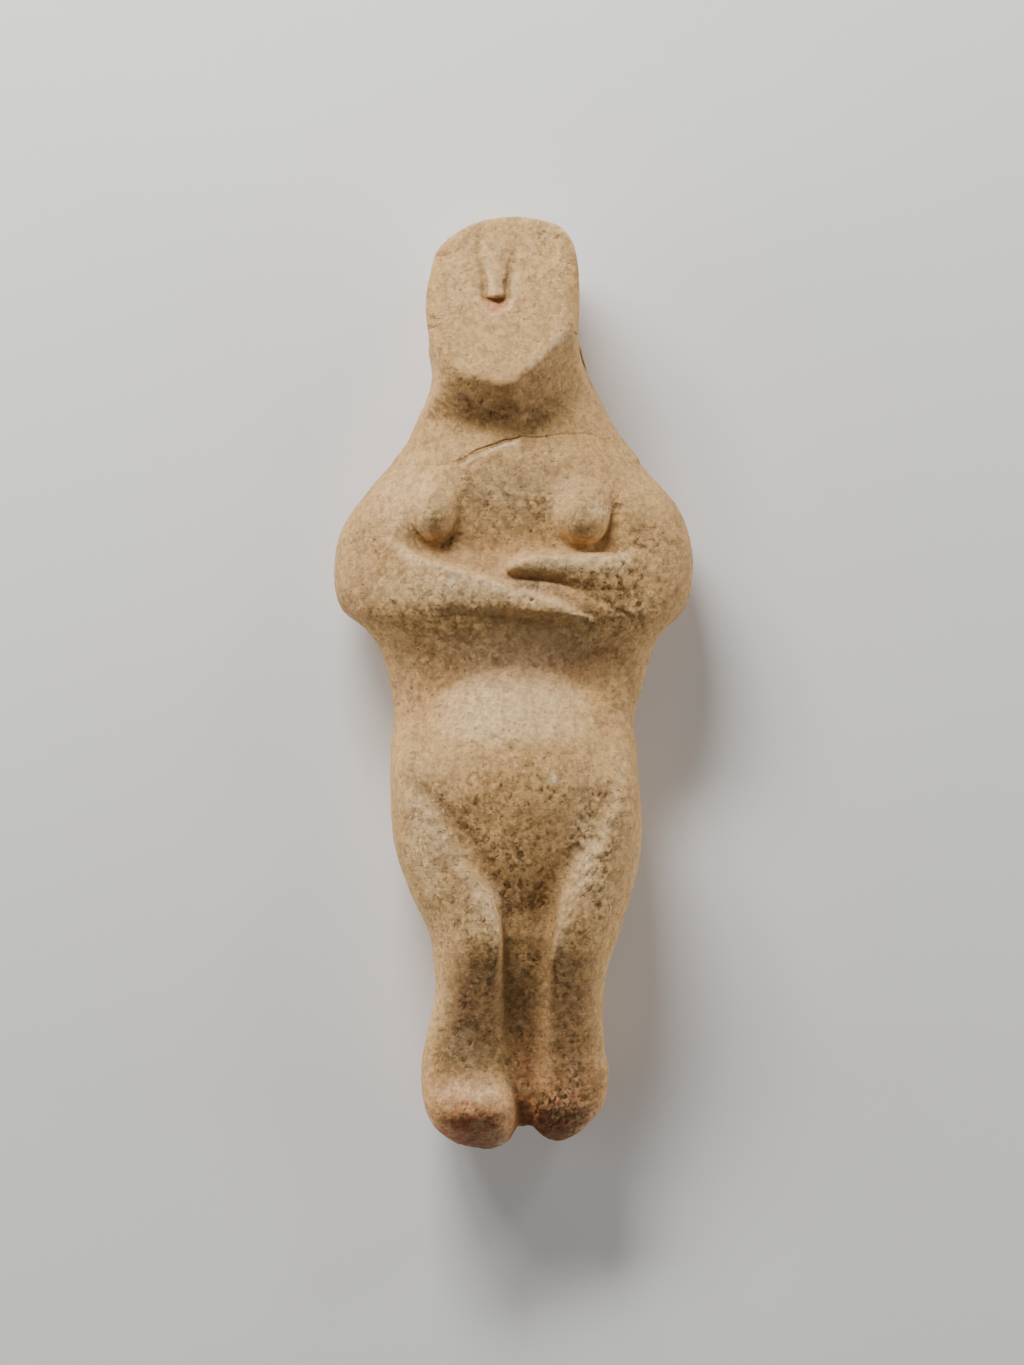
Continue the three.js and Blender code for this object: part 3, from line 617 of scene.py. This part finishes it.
def stone(x, s, z):
    """Negative inside the stone, positive outside."""
    z = z + crease(x, s) * ramp(SIDE.legs, CREASE.deep, z)
    upper = join(head(x, s, z), neck(x, s, z), SOFT.neck)
    middle = trunk(x, s, z)
    for shape in BREASTS:
        fade = ramp(shape.s + BREAST_FADE.start, shape.s + BREAST_FADE.end, s)
        blend = SOFT.breast + BREAST_FADE.radius * fade
        middle = join(middle, breast(x, s, z, shape), blend)
    for forearm in FOREARMS:
        middle = join(middle, forearm(x, s, z), SOFT.forearm)
    lower = web(x, s, z)
    for leg in LEGS:
        lower = join(lower, leg(x, s, z), SOFT.web)
    return trim(join(join(upper, middle, SOFT.trunk), lower, SOFT.hip), -z, SOFT.rest)


# Rings lie closest together over the mended break: (percent of the rings, s).
ring_place = through([
    (0, CORE.head), (20, 775), (26, 757), (32, 736), (53, 562), (76, 304), (100, CORE.feet),
])
left_arm_top = through(LEFT_FOREARM.upper)
ARM_TOP = 641
right_arm_top = through([(-130, 664), (-60, 648), (0, ARM_TOP), (150, ARM_TOP)])
jaw_line = through([
    (-80, 852), (-66, 836), (-40, 826), (-4, CHIN.s), (20, 837), (44, 862), (62, 890),
])
LEFT_ARM_GUIDE = Named(start=-122, end=75, lowest=578)


def left_arm_guide(x):
    top = left_arm_top(clamp(x, LEFT_ARM_GUIDE.start, LEFT_ARM_GUIDE.end))
    return np.maximum(top, LEFT_ARM_GUIDE.lowest)


# The ring that stands at s in the middle, and the line that it follows, if any.
RING_GUIDES = [
    (930, None), (CHIN.s, jaw_line), (760, None), (700, None), (642, right_arm_top),
    (603, left_arm_guide), (572, None),
]


def ring_bend(x, s):
    """How far a ring moves to follow the jaw and the edges of the forearms."""
    bend = np.zeros_like(x)
    moves = [(at, line(x) - at if line else np.zeros_like(x)) for at, line in RING_GUIDES]
    for (high, above), (low, below) in zip(moves, moves[1:]):
        share = (s - low) / (high - low)
        bend = np.where((s >= low) & (s < high), below + (above - below) * share, bend)
    return bend


def core_place(column, s):
    """The place across the core; below the belly some columns follow the creases and the groove."""
    left, right = outline_left(s), outline_right(s)
    middle, half = (left + right) / 2, (right - left) / 2 - CORE.margin
    over = CREASE_COLUMNS.over
    swap = ramp(CREASE_COLUMNS.swap - over, CREASE_COLUMNS.swap + over, s)
    low = inner_left(s) + (groin_left(s) - inner_left(s)) * swap
    high = inner_right(s) + (groin_right(s) - inner_right(s)) * swap
    share = CREASE_COLUMNS.share
    outer = (np.abs(column) - share) / (1 - share)
    creased = low + (high - low) * (column / share + 1) / 2
    creased = np.where(column < -share, low + (middle - half - low) * outer, creased)
    creased = np.where(column > share, high + (middle + half - high) * outer, creased)
    follow = ramp(CREASE_COLUMNS.start, CREASE_COLUMNS.full, s)
    return middle + column * half + (creased - middle - column * half) * follow


def around_body(index):
    """The column across the core and the angle of its ray, for places around the body."""
    def fan(place):
        return np.sin(np.pi / 2 * (1 - 2 * place / SIDE_COLUMNS)) * np.pi / 2

    past_front = index - FRONT_COLUMNS
    past_side = past_front - SIDE_COLUMNS
    last = past_side - BACK_COLUMNS
    parts = [index <= FRONT_COLUMNS, past_side < 0, last <= 0]
    across = [2 * index / FRONT_COLUMNS - 1.0, 1.0, 1.0 - 2 * past_side / BACK_COLUMNS]
    turned = [np.pi / 2, fan(past_front), -np.pi / 2]
    return np.select(parts, across, -1.0), np.select(parts, turned, np.pi - fan(SIDE_COLUMNS - last))


def rays(index, ring):
    """Where each vertex's ray starts inside the stone, and which way it goes."""
    column, angle = around_body(index)
    tilt = np.pi / 2 * (
        np.maximum(1 - ring / CAP_RINGS, 0) - np.maximum(1 - (RINGS - ring) / CAP_RINGS, 0)
    )
    s = ring_place(100 * clamp((ring - CAP_RINGS) / (RINGS - 2 * CAP_RINGS), 0, 1))
    x = core_place(column * np.cos(tilt), s)
    bend = np.maximum(np.sin(angle), 0) * np.cos(tilt) * ring_bend(x, s)
    start = np.stack([x, s + bend, np.full_like(x, CORE.height)], 1)
    way = np.stack([np.cos(angle) * np.cos(tilt), np.sin(tilt), np.sin(angle) * np.cos(tilt)], 1)
    return start, way


def drawn_in(start, way):
    """Draws each vertex in along its ray to the surface of the stone."""
    far = np.full(len(start), float(RAY.length))
    active = np.ones(len(start), bool)
    while active.any():
        reach = far[active] - RAY.step
        place = start[active] + way[active] * reach[:, None]
        free = (stone(*place.T) > 0) & (reach > 0)
        far[active] = np.where(free, reach, far[active])
        active[np.flatnonzero(active)[~free]] = False
    near = far - RAY.step
    for _ in range(RAY.halvings):
        half = (near + far) / 2
        free = stone(*(start + way * half[:, None]).T) > 0
        far, near = np.where(free, half, far), np.where(free, near, half)
    return start + way * near[:, None]


def lattice(i, j, k, seed):
    """A fixed pseudo-random value from -1 to 1 for each cell of a lattice."""
    mixed = (i * SCATTER[0] + j * SCATTER[1] + k * SCATTER[2] + seed * SCATTER[3]) & WORD
    mixed = ((mixed ^ (mixed >> 13)) * SCATTER[4]) & WORD
    mixed = mixed ^ (mixed >> 16)
    return mixed / (WORD / 2) - 1.0


def noise(places, size, seed):
    """Smooth noise from -1 to 1 whose bumps are about size across."""
    scaled = places / size
    cell = np.floor(scaled).astype(np.int64)
    t = scaled - cell
    t = t * t * (3 - 2 * t)
    total = 0.0
    for corner in range(8):
        step = np.array([corner & 1, corner >> 1 & 1, corner >> 2 & 1])
        weight = np.prod(np.where(step, t, 1 - t), axis=1)
        total = total + weight * lattice(*(cell + step).T, seed)
    return total


def near_line(x, s, places):
    """The distance of each place from a line through given places."""
    nearest = np.full(len(x), np.inf)
    for (x0, s0), (x1, s1) in zip(places, places[1:]):
        dx, ds = x1 - x0, s1 - s0
        t = clamp(((x - x0) * dx + (s - s0) * ds) / (dx * dx + ds * ds), 0, 1)
        nearest = np.minimum(nearest, np.hypot(x - x0 - t * dx, s - s0 - t * ds))
    return nearest


def patches(x, s, rows):
    total = np.zeros_like(x)
    for px, ps, across, along, amount in rows:
        total += amount * np.exp(-(((x - px) / across) ** 2) - ((s - ps) / along) ** 2)
    return total


def scattered_pits(draw):
    """Places, radii and depths of all the pits of the front."""
    rows = [tuple(map(float, row)) for row in NAMED_PITS]
    for x, s, across, along, count, smallest, largest, depth in PIT_FIELDS:
        for _ in range(count):
            turn, out = draw.uniform(0, 2 * math.pi), math.sqrt(draw.uniform(0, 1))
            size = smallest + (largest - smallest) * draw.uniform(0, 1) ** PIT_SHAPE.size_power
            rows.append((
                x + across * out * math.cos(turn), s + along * out * math.sin(turn),
                size / 2, depth * draw.uniform(PIT_SHAPE.shallowest, 1.0),
            ))
    return np.array(rows)


def pitted(x, s, rows):
    """How deep the pits are at each place."""
    depth = np.zeros_like(x)
    order = np.argsort(s)
    sorted_s = s[order]
    for px, ps, radius, deep in rows:
        reach = radius * PIT_SHAPE.reach
        low, high = np.searchsorted(sorted_s, (ps - reach, ps + reach))
        near = order[low:high]
        near = near[np.abs(x[near] - px) < reach]
        away = np.hypot(x[near] - px, s[near] - ps) / radius
        depth[near] = np.maximum(depth[near], deep * ramp(PIT_SHAPE.brim, PIT_SHAPE.bottom, away))
    return depth


def vertex_normals(mesh):
    normals = np.empty(len(mesh.vertices) * 3)
    mesh.vertex_normals.foreach_get("vector", normals)
    return normals.reshape(-1, 3)


def write_attribute(mesh, name, values):
    layer = mesh.attributes.new(name, "FLOAT", "POINT")
    layer.data.foreach_set("value", np.asarray(values, np.float32))


def strayed(places, far, size, seed_x, seed_s):
    """Where each vertex looks for lines or pits, so that neither has an even edge."""
    x, s = places[:, :2].T
    return x + far * noise(places, size, seed_x), s + far * noise(places, size, seed_s)


def roughness_at(places, front):
    x, s = places[:, :2].T
    rough = ROUGHNESS.plain + patches(x, s, ROUGH_PATCHES) * front
    rough = clamp(rough - patches(x, s, SMOOTH_PATCHES) * front, ROUGHNESS.least, ROUGHNESS.most)
    drift = DRIFT.middle + DRIFT.swing * noise(places, DRIFT.size, DRIFT.seed)
    return rough * clamp(drift, DRIFT.least, DRIFT.most)


def weathered(places, normals, settings):
    """How far each vertex sinks into the stone, and the masks that the material reads."""
    front = ramp(*FACING.front, normals[:, 2])
    behind = ramp(*FACING.back, -normals[:, 2])
    rough = roughness_at(places, front)
    grain = 0.0
    for height, size, seed, folded in GRAIN:
        bumps = noise(places, size, seed)
        grain = grain + height * (np.abs(bumps) - FOLD_MEAN if folded else bumps)
    grain = grain * rough * settings.grain
    pits = pitted(*strayed(places, *STRAY.pits), scattered_pits(np.random.RandomState(SEED)))
    pits = pits * ramp(*FACING.pits, normals[:, 2]) * settings.pits
    wander = strayed(places, *STRAY.lines)
    strokes, crack = np.zeros(len(places)), np.zeros(len(places))
    uneven = 1 + STROKE.uneven * noise(places, STROKE.size, STROKE.seed)
    for side, rows in ((front, FRONT_STROKES), (behind, BACK_STROKES)):
        for name, (line, width, depth) in rows.items():
            near = near_line(*wander, line) / (width * uneven) * STROKE.narrowing
            mark = np.exp(-(near ** 2)) * side
            strokes = np.maximum(strokes, mark * depth)
            if "break" in name:
                crack = np.maximum(crack, mark)
    sink = pits + strokes - grain
    masks = {
        "pitted": clamp(pits / MASK_FULL.pitted, 0, 1),
        "cracked": crack,
        "rough": clamp(rough / MASK_FULL.rough, 0, 1),
    }
    return sink, masks


def deposits(places):
    """Masks for where dark dirt, red deposits and pale scars lie on the stone; the dark mask is also
    made darker along the nose grooves.
    """
    x, s, z = places.T
    grooves = np.minimum(np.abs(x - nose_left(s)), np.abs(x - nose_right(s))) / NOSE_GROOVE_DARKENING.width
    masks = {name: patches(x, s, rows) for name, rows in DEPOSITS.items()}
    masks["dark"] += (
        NOSE_GROOVE_DARKENING.amount * np.exp(-grooves ** 2) * ramp(*NOSE_GROOVE_DARKENING.tip, s)
        * ramp(*NOSE_GROOVE_DARKENING.top, s) * ramp(*NOSE_GROOVE_DARKENING.height, z)
    )
    masks["pale"] += sum(
        amount * np.exp(-(near_line(x, s, line) / width) ** 2) for line, width, amount in PALE_EDGES
    )
    return masks


def exposure(places, normals):
    """Masks for the hollows and the edges: darker in hollows, partly dirt and partly painted shade, with
    patches and lines of painted shade; paler on worn edges, with patches and lines of painted highlight.
    """
    x, s = places[:, :2].T
    around = stone(*(places + normals * PROBE.out).T) / PROBE.out
    facing = ramp(*FACING.stains, normals[:, 2])
    # Darker in hollows, partly dirt and partly painted shade, and in the patches of painted shade.
    hollow = clamp(1.0 - around, 0, 1) ** PROBE.hollow_power + patches(x, s, PAINTED_SHADE_PATCHES) * facing
    # Paler on worn edges, and in the patches and lines of painted highlight.
    worn = clamp(around - PROBE.flat, 0, PROBE.most) * PROBE.gain + patches(x, s, PAINTED_HIGHLIGHTS) * facing
    masks = {"hollow": hollow, "worn": worn}
    # Lines of painted highlight along lit edges and of painted shadow along creases.
    for line, lift, width, name, amount in PAINTED_EDGE_LIGHT_AND_SHADE:
        beside = near_line(x, s - lift, line) / width
        masks[name] = masks[name] + amount * np.exp(-beside * beside) * facing
    return masks


def add_piece(name, body):
    """Names the object that was just added, and says what it rides on."""
    piece = bpy.context.active_object
    piece.name = piece.data.name = name
    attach(piece, body)
    return piece


def deselect_all():
    if bpy.context.object and bpy.context.object.mode != "OBJECT":
        bpy.ops.object.mode_set(mode="OBJECT")
    bpy.ops.object.select_all(action="DESELECT")


class NodeDesk:
    """Places and links the nodes of one material."""

    def __init__(self, tree):
        self.tree = tree
        self.tree.nodes.clear()

    def add(self, kind, inputs=None, **settings):
        node = self.tree.nodes.new(kind)
        for key, value in settings.items():
            setattr(node, key, value)
        for key, value in (inputs or {}).items():
            if isinstance(value, bpy.types.NodeSocket):
                self.tree.links.new(value, node.inputs[key])
            else:
                node.inputs[key].default_value = value
        return node

    def math(self, operation, a, b=0.5, limit=False):
        return self.add("ShaderNodeMath", {0: a, 1: b}, operation=operation, use_clamp=limit).outputs[0]

    def mix(self, factor, a, b, blend="MIX"):
        node = self.add("ShaderNodeMix", data_type="RGBA", blend_type=blend)
        for key, value in ((0, factor), (6, a), (7, b)):
            if isinstance(value, bpy.types.NodeSocket):
                self.tree.links.new(value, node.inputs[key])
            elif key:
                node.inputs[key].default_value = (*value, 1.0)
            else:
                node.inputs[key].default_value = value
        return node.outputs[2]

    def ramp(self, value, *stops):
        node = self.add("ShaderNodeValToRGB", {0: value})
        elements = node.color_ramp.elements
        for element, (position, level) in zip(elements, (stops[0], stops[-1])):
            element.position, element.color = position, (level,) * 3 + (1,)
        for position, level in stops[1:-1]:
            elements.new(position).color = (level,) * 3 + (1,)
        return node.outputs[0]

    def cells(self, place, scale):
        return self.add(
            "ShaderNodeTexVoronoi", {"Vector": place, "Scale": scale, "Randomness": 1.0}, feature="F1",
        ).outputs

    def pits(self, place, scale, rim, chosen, amount):
        """Small holes in some of the cells of a Voronoi pattern: 1 in a hole, 0 beside it."""
        cells = self.cells(place, scale)
        kept = self.ramp(cells["Color"], (chosen[0], 0.0), (chosen[1], 1.0))
        holes = self.ramp(cells["Distance"], (rim[0], 1.0), (rim[1], 0.0))
        return self.math("MULTIPLY", holes, self.math("MULTIPLY", kept, amount, True))

    def crystals(self, place, scale):
        """A shade for each crystal, some lighter and some darker than the rest."""
        return self.ramp(self.cells(place, scale)["Color"], *CRYSTAL_SHADES)

    def vector(self, operation, a, b):
        return self.add("ShaderNodeVectorMath", {0: a, 1: b}, operation=operation).outputs

    def facets(self, place, scale):
        """Crystals: each Voronoi cell is a flat face that leans its own way."""
        cells = self.cells(place, scale)
        lean = self.vector("SUBTRACT", cells["Color"], (0.5, 0.5, 0.5))[0]
        away = self.vector("SUBTRACT", place, cells["Position"])[0]
        return self.vector("DOT_PRODUCT", lean, away)["Value"]

    def noise(self, place, scale, detail, roughness=0.55, output=0):
        return self.add(
            "ShaderNodeTexNoise",
            {"Vector": place, "Scale": scale, "Detail": detail, "Roughness": roughness},
        ).outputs[output]


def new_material(name):
    """A material with an empty desk, and the place on the object that its nodes start from."""
    material = bpy.data.materials.new(name)
    material.use_nodes = True
    desk = NodeDesk(material.node_tree)
    return material, desk, desk.add("ShaderNodeTexCoord").outputs["Object"]


def marble_material(colours):
    material, desk, place = new_material("Weathered marble")

    def mask(name):
        return desk.add("ShaderNodeAttribute", attribute_name=name).outputs["Fac"]

    def blotches(name):
        scale, detail, roughness, start, full = BLOTCHES[name]
        return desk.ramp(desk.noise(place, scale, detail, roughness), (start, 0.0), (full, 1.0))

    def laid(under, share, tint):
        return desk.mix(share, under, tuple(getattr(colours, tint)))

    stains, patchy = blotches("stains"), blotches("patchy")
    colour = laid(tuple(colours.stone), blotches("clouds"), "warm")
    colour = laid(colour, desk.math("MULTIPLY", stains, SHARES.ochre), "ochre")
    # Dirt and painted shade in hollows, dirt in pits, and paler wear with painted highlights on edges.
    for name, share, tint in UNDER_COLOURS:
        colour = laid(colour, desk.math("MULTIPLY", mask(name), share, True), tint)
    for name, swing, least, tint in BROKEN_COLOURS:
        broken = desk.math("ADD", desk.math("MULTIPLY", patchy, swing), least)
        colour = laid(colour, desk.math("MULTIPLY", mask(name), broken, True), tint)
    colour = laid(colour, desk.math("MULTIPLY", mask("cracked"), SHARES.crack, True), "dirt_and_shade")
    drift = desk.noise(place, HOLE_DRIFT.scale, HOLE_DRIFT.detail, HOLE_DRIFT.roughness, "Color")
    ragged = desk.add(
        "ShaderNodeMix", {0: HOLE_DRIFT.share, 4: place, 5: drift}, data_type="VECTOR",
    ).outputs[1]
    rough = mask("rough")
    pricks, holes = (
        desk.pits(ragged, scale, rim, chosen, desk.math("ADD", rough, more))
        for scale, rim, chosen, more, _ in HOLES
    )
    deep = desk.math("MAXIMUM", pricks, holes)
    colour = laid(colour, desk.math("MULTIPLY", deep, SHARES.holes), "dirt_and_shade")
    for scale, share in CRYSTALS:
        colour = desk.mix(share, colour, desk.crystals(place, scale), "MULTIPLY")
    colour = laid(colour, desk.math("MULTIPLY", blotches("specks"), SHARES.specks), "scar")

    strength = desk.math("ADD", desk.math("MULTIPLY", rough, FACETS.rough), FACETS.plain)
    facets = desk.math("ADD", *(desk.facets(place, scale) for scale in FACETS.scales))
    height = desk.math("MULTIPLY", desk.math("MULTIPLY", facets, FACETS.height), strength)
    for openings, row in zip((pricks, holes), HOLES):
        height = desk.math("SUBTRACT", height, desk.math("MULTIPLY", openings, row[-1]))
    bump = desk.add("ShaderNodeBump", {"Strength": 1.0, "Distance": 1.0, "Height": height}).outputs[0]
    roughness = desk.math("ADD", desk.math("MULTIPLY", stains, SHEEN.rougher), SHEEN.roughness)
    surface = desk.add("ShaderNodeBsdfPrincipled", {
        "Base Color": colour, "Roughness": roughness, "Normal": bump, "IOR": SHEEN.ior,
        "Specular IOR Level": SHEEN.specular,
    })
    desk.add("ShaderNodeOutputMaterial", {"Surface": surface.outputs[0]})
    return material


def floor_material(colours):
    material, desk, place = new_material("Pale floor")
    shade = desk.ramp(desk.noise(place, FLOOR.scale, FLOOR.detail), (0.3, 0.97), (0.7, 1.0))
    colour = desk.mix(1.0, shade, tuple(colours.floor), "MULTIPLY")
    surface = desk.add(
        "ShaderNodeBsdfPrincipled", {"Base Color": colour, "Roughness": FLOOR.roughness},
    )
    desk.add("ShaderNodeOutputMaterial", {"Surface": surface.outputs[0]})
    return material


def number_property(name, description, default, least=0.0, **more):
    return bpy.props.FloatProperty(
        name=name, description=description, default=default, min=least, **more,
    )


def colour_property(name, description, default):
    return bpy.props.FloatVectorProperty(
        name=name, description=description, default=default, subtype="COLOR", min=0.0, max=1.0,
    )


class FigurineSizes(bpy.types.PropertyGroup):
    """How strongly the figurine is weathered."""

    grain: number_property(
        "Grain", "How high the grain stands, as a share of the usual", 1.0, max=4.0,
    )
    pits: number_property("Pits", "How deep the pits are, as a share of the usual", 1.0, max=2.0)


class FigurineColours(bpy.types.PropertyGroup):
    """Colours of the stone and of the floor."""

    stone: colour_property("Stone", "The stone where it is rubbed clean", (0.54, 0.325, 0.122))
    warm: colour_property("Warm", "The stone where it is warmer", (0.47, 0.265, 0.093))
    ochre: colour_property("Ochre", "Ochre stains", (0.38, 0.215, 0.09))
    # The pale colour also paints highlights on lit edges and bands.
    pale: colour_property("Pale", "Raised places that are rubbed", (0.70, 0.48, 0.25))
    # The dirt colour also paints shade in hollows, creases and shaded patches.
    dirt_and_shade: colour_property("Dirt", "Hollows and pits", (0.185, 0.085, 0.042))
    rust: colour_property("Rust", "Reddish-brown deposits", (0.42, 0.14, 0.055))
    soot: colour_property("Soot", "Dark deposits", (0.085, 0.042, 0.022))
    scar: colour_property("Scar", "Fresh pale chips", (0.80, 0.64, 0.46))
    floor: colour_property("Floor", "The floor", (0.86, 0.85, 0.83))


class StageSizes(bpy.types.PropertyGroup):
    """The camera and the lights."""

    camera_height: number_property(
        "Camera height", "How far above the figurine the camera stands", 2.235, 0.2, unit="LENGTH",
    )
    lens: number_property("Lens", "Focal length of the camera", 250.0, 20.0, unit="CAMERA")
    key: number_property("Key light", "Strength of the main light", 8.8, unit="POWER")
    sides: number_property("Side lights", "Strength of each low side light", 4.2, unit="POWER")
    fill: number_property("Fill", "Strength of the even light all round", 0.08)


class CarveFigurine(bpy.types.Operator):
    """Carve the figurine from a ball and give it its weathered marble"""

    bl_idname = "figurine.carve"
    bl_label = "Carve figurine"

    def execute(self, context):
        sizes, colours = context.scene.figurine_sizes, context.scene.figurine_colours
        deselect_all()
        bpy.ops.mesh.primitive_uv_sphere_add(segments=COLUMNS, ring_count=RINGS, radius=1.0)
        piece = add_piece("carved_stone", "root")
        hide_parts("figurine")
        mesh = piece.data
        ball = np.empty(len(mesh.vertices) * 3)
        mesh.vertices.foreach_get("co", ball)
        ball = ball.reshape(-1, 3)
        ring = np.rint(np.degrees(np.arccos(clamp(ball[:, 2], -1, 1))) / 180 * RINGS)
        turn = np.arctan2(ball[:, 1], ball[:, 0])
        index = np.rint((-turn / (2 * np.pi)) % 1.0 * COLUMNS) % COLUMNS
        index = np.where((ring == 0) | (ring == RINGS), 0, index)
        places = drawn_in(*rays(index.astype(float), ring.astype(float)))
        mesh.vertices.foreach_set("co", places.ravel())
        mesh.update()
        normals = vertex_normals(mesh)
        if (normals * (places - MIDDLE)).sum() < 0:
            mesh.flip_normals()
            mesh.update()
            normals = vertex_normals(mesh)
        sink, masks = weathered(places, normals, sizes)
        rest = places[:, 2] < RESTING
        shaped = places - normals * (sink * ~rest)[:, None]
        low, high = shaped.min(0), shaped.max(0)
        fitted = BOX_LOW + (shaped - low) / (high - low) * (BOX_HIGH - BOX_LOW)
        mesh.vertices.foreach_set("co", fitted.ravel())
        mesh.update()
        masks.update(exposure(places, normals))
        masks.update(deposits(places))
        for name, values in masks.items():
            write_attribute(mesh, name, values)
        bpy.ops.object.shade_smooth()
        piece.data.materials.append(marble_material(colours))
        return {"FINISHED"}


class SetStage(bpy.types.Operator):
    """Lay the floor, hang the lights and set the camera"""

    bl_idname = "figurine.stage"
    bl_label = "Set stage"

    def execute(self, context):
        stage, colours = context.scene.figurine_stage, context.scene.figurine_colours
        deselect_all()
        bpy.ops.mesh.primitive_plane_add(size=FLOOR.size, location=(0, 0, 0))
        floor = bpy.context.active_object
        floor.name = "floor"
        floor.data.materials.append(floor_material(colours))
        for name, place, size, setting, share in LIGHTS:
            self.light(name, place, size, share * getattr(stage, setting))
        world = bpy.data.worlds.new("Even light")
        world.use_nodes = True
        background = world.node_tree.nodes["Background"].inputs
        background["Color"].default_value = (1.0, 1.0, 1.0, 1.0)
        background["Strength"].default_value = stage.fill
        context.scene.world = world
        x, y, z = CAMERA.place
        bpy.ops.object.camera_add(location=(x, y, z + stage.camera_height), rotation=(0, 0, 0))
        camera = bpy.context.active_object
        camera.name = "camera"
        camera.data.lens = stage.lens
        camera.data.sensor_width = CAMERA.sensor
        camera.data.clip_start = CAMERA.nearest
        context.scene.camera = camera
        return {"FINISHED"}

    def light(self, name, place, size, power):
        away = -np.array(place)
        flat = math.hypot(away[0], away[1])
        turn = (math.atan2(flat, -away[2]), 0.0, math.atan2(away[1], away[0]) - math.pi / 2)
        bpy.ops.object.light_add(type="AREA", location=place, rotation=turn)
        lamp = bpy.context.active_object
        lamp.name = name
        lamp.data.shape = "RECTANGLE"
        lamp.data.size, lamp.data.size_y = size
        lamp.data.energy = power


class FigurinePanel(bpy.types.Panel):
    """The figurine's sizes, colours and making steps"""

    bl_idname = "VIEW3D_PT_figurine"
    bl_label = "Figurine"
    bl_space_type = "VIEW_3D"
    bl_region_type = "UI"
    bl_category = "Figurine"

    def draw(self, context):
        for group in GROUPS:
            settings = getattr(context.scene, group)
            column = self.layout.column(align=True)
            for name in settings.__annotations__:
                column.prop(settings, name)
        for operator in (CarveFigurine, SetStage):
            self.layout.operator(operator.bl_idname)


GROUPS = {
    "figurine_sizes": FigurineSizes,
    "figurine_colours": FigurineColours,
    "figurine_stage": StageSizes,
}
CLASSES = (*GROUPS.values(), CarveFigurine, SetStage, FigurinePanel)


def register():
    for group in CLASSES:
        bpy.utils.register_class(group)
    for name, group in GROUPS.items():
        setattr(bpy.types.Scene, name, bpy.props.PointerProperty(type=group))


def unregister():
    for name in GROUPS:
        delattr(bpy.types.Scene, name)
    for group in reversed(CLASSES):
        bpy.utils.unregister_class(group)


def main():
    register()
    bpy.ops.figurine.carve()
    bpy.ops.figurine.stage()


if __name__ == "__main__":
    main()
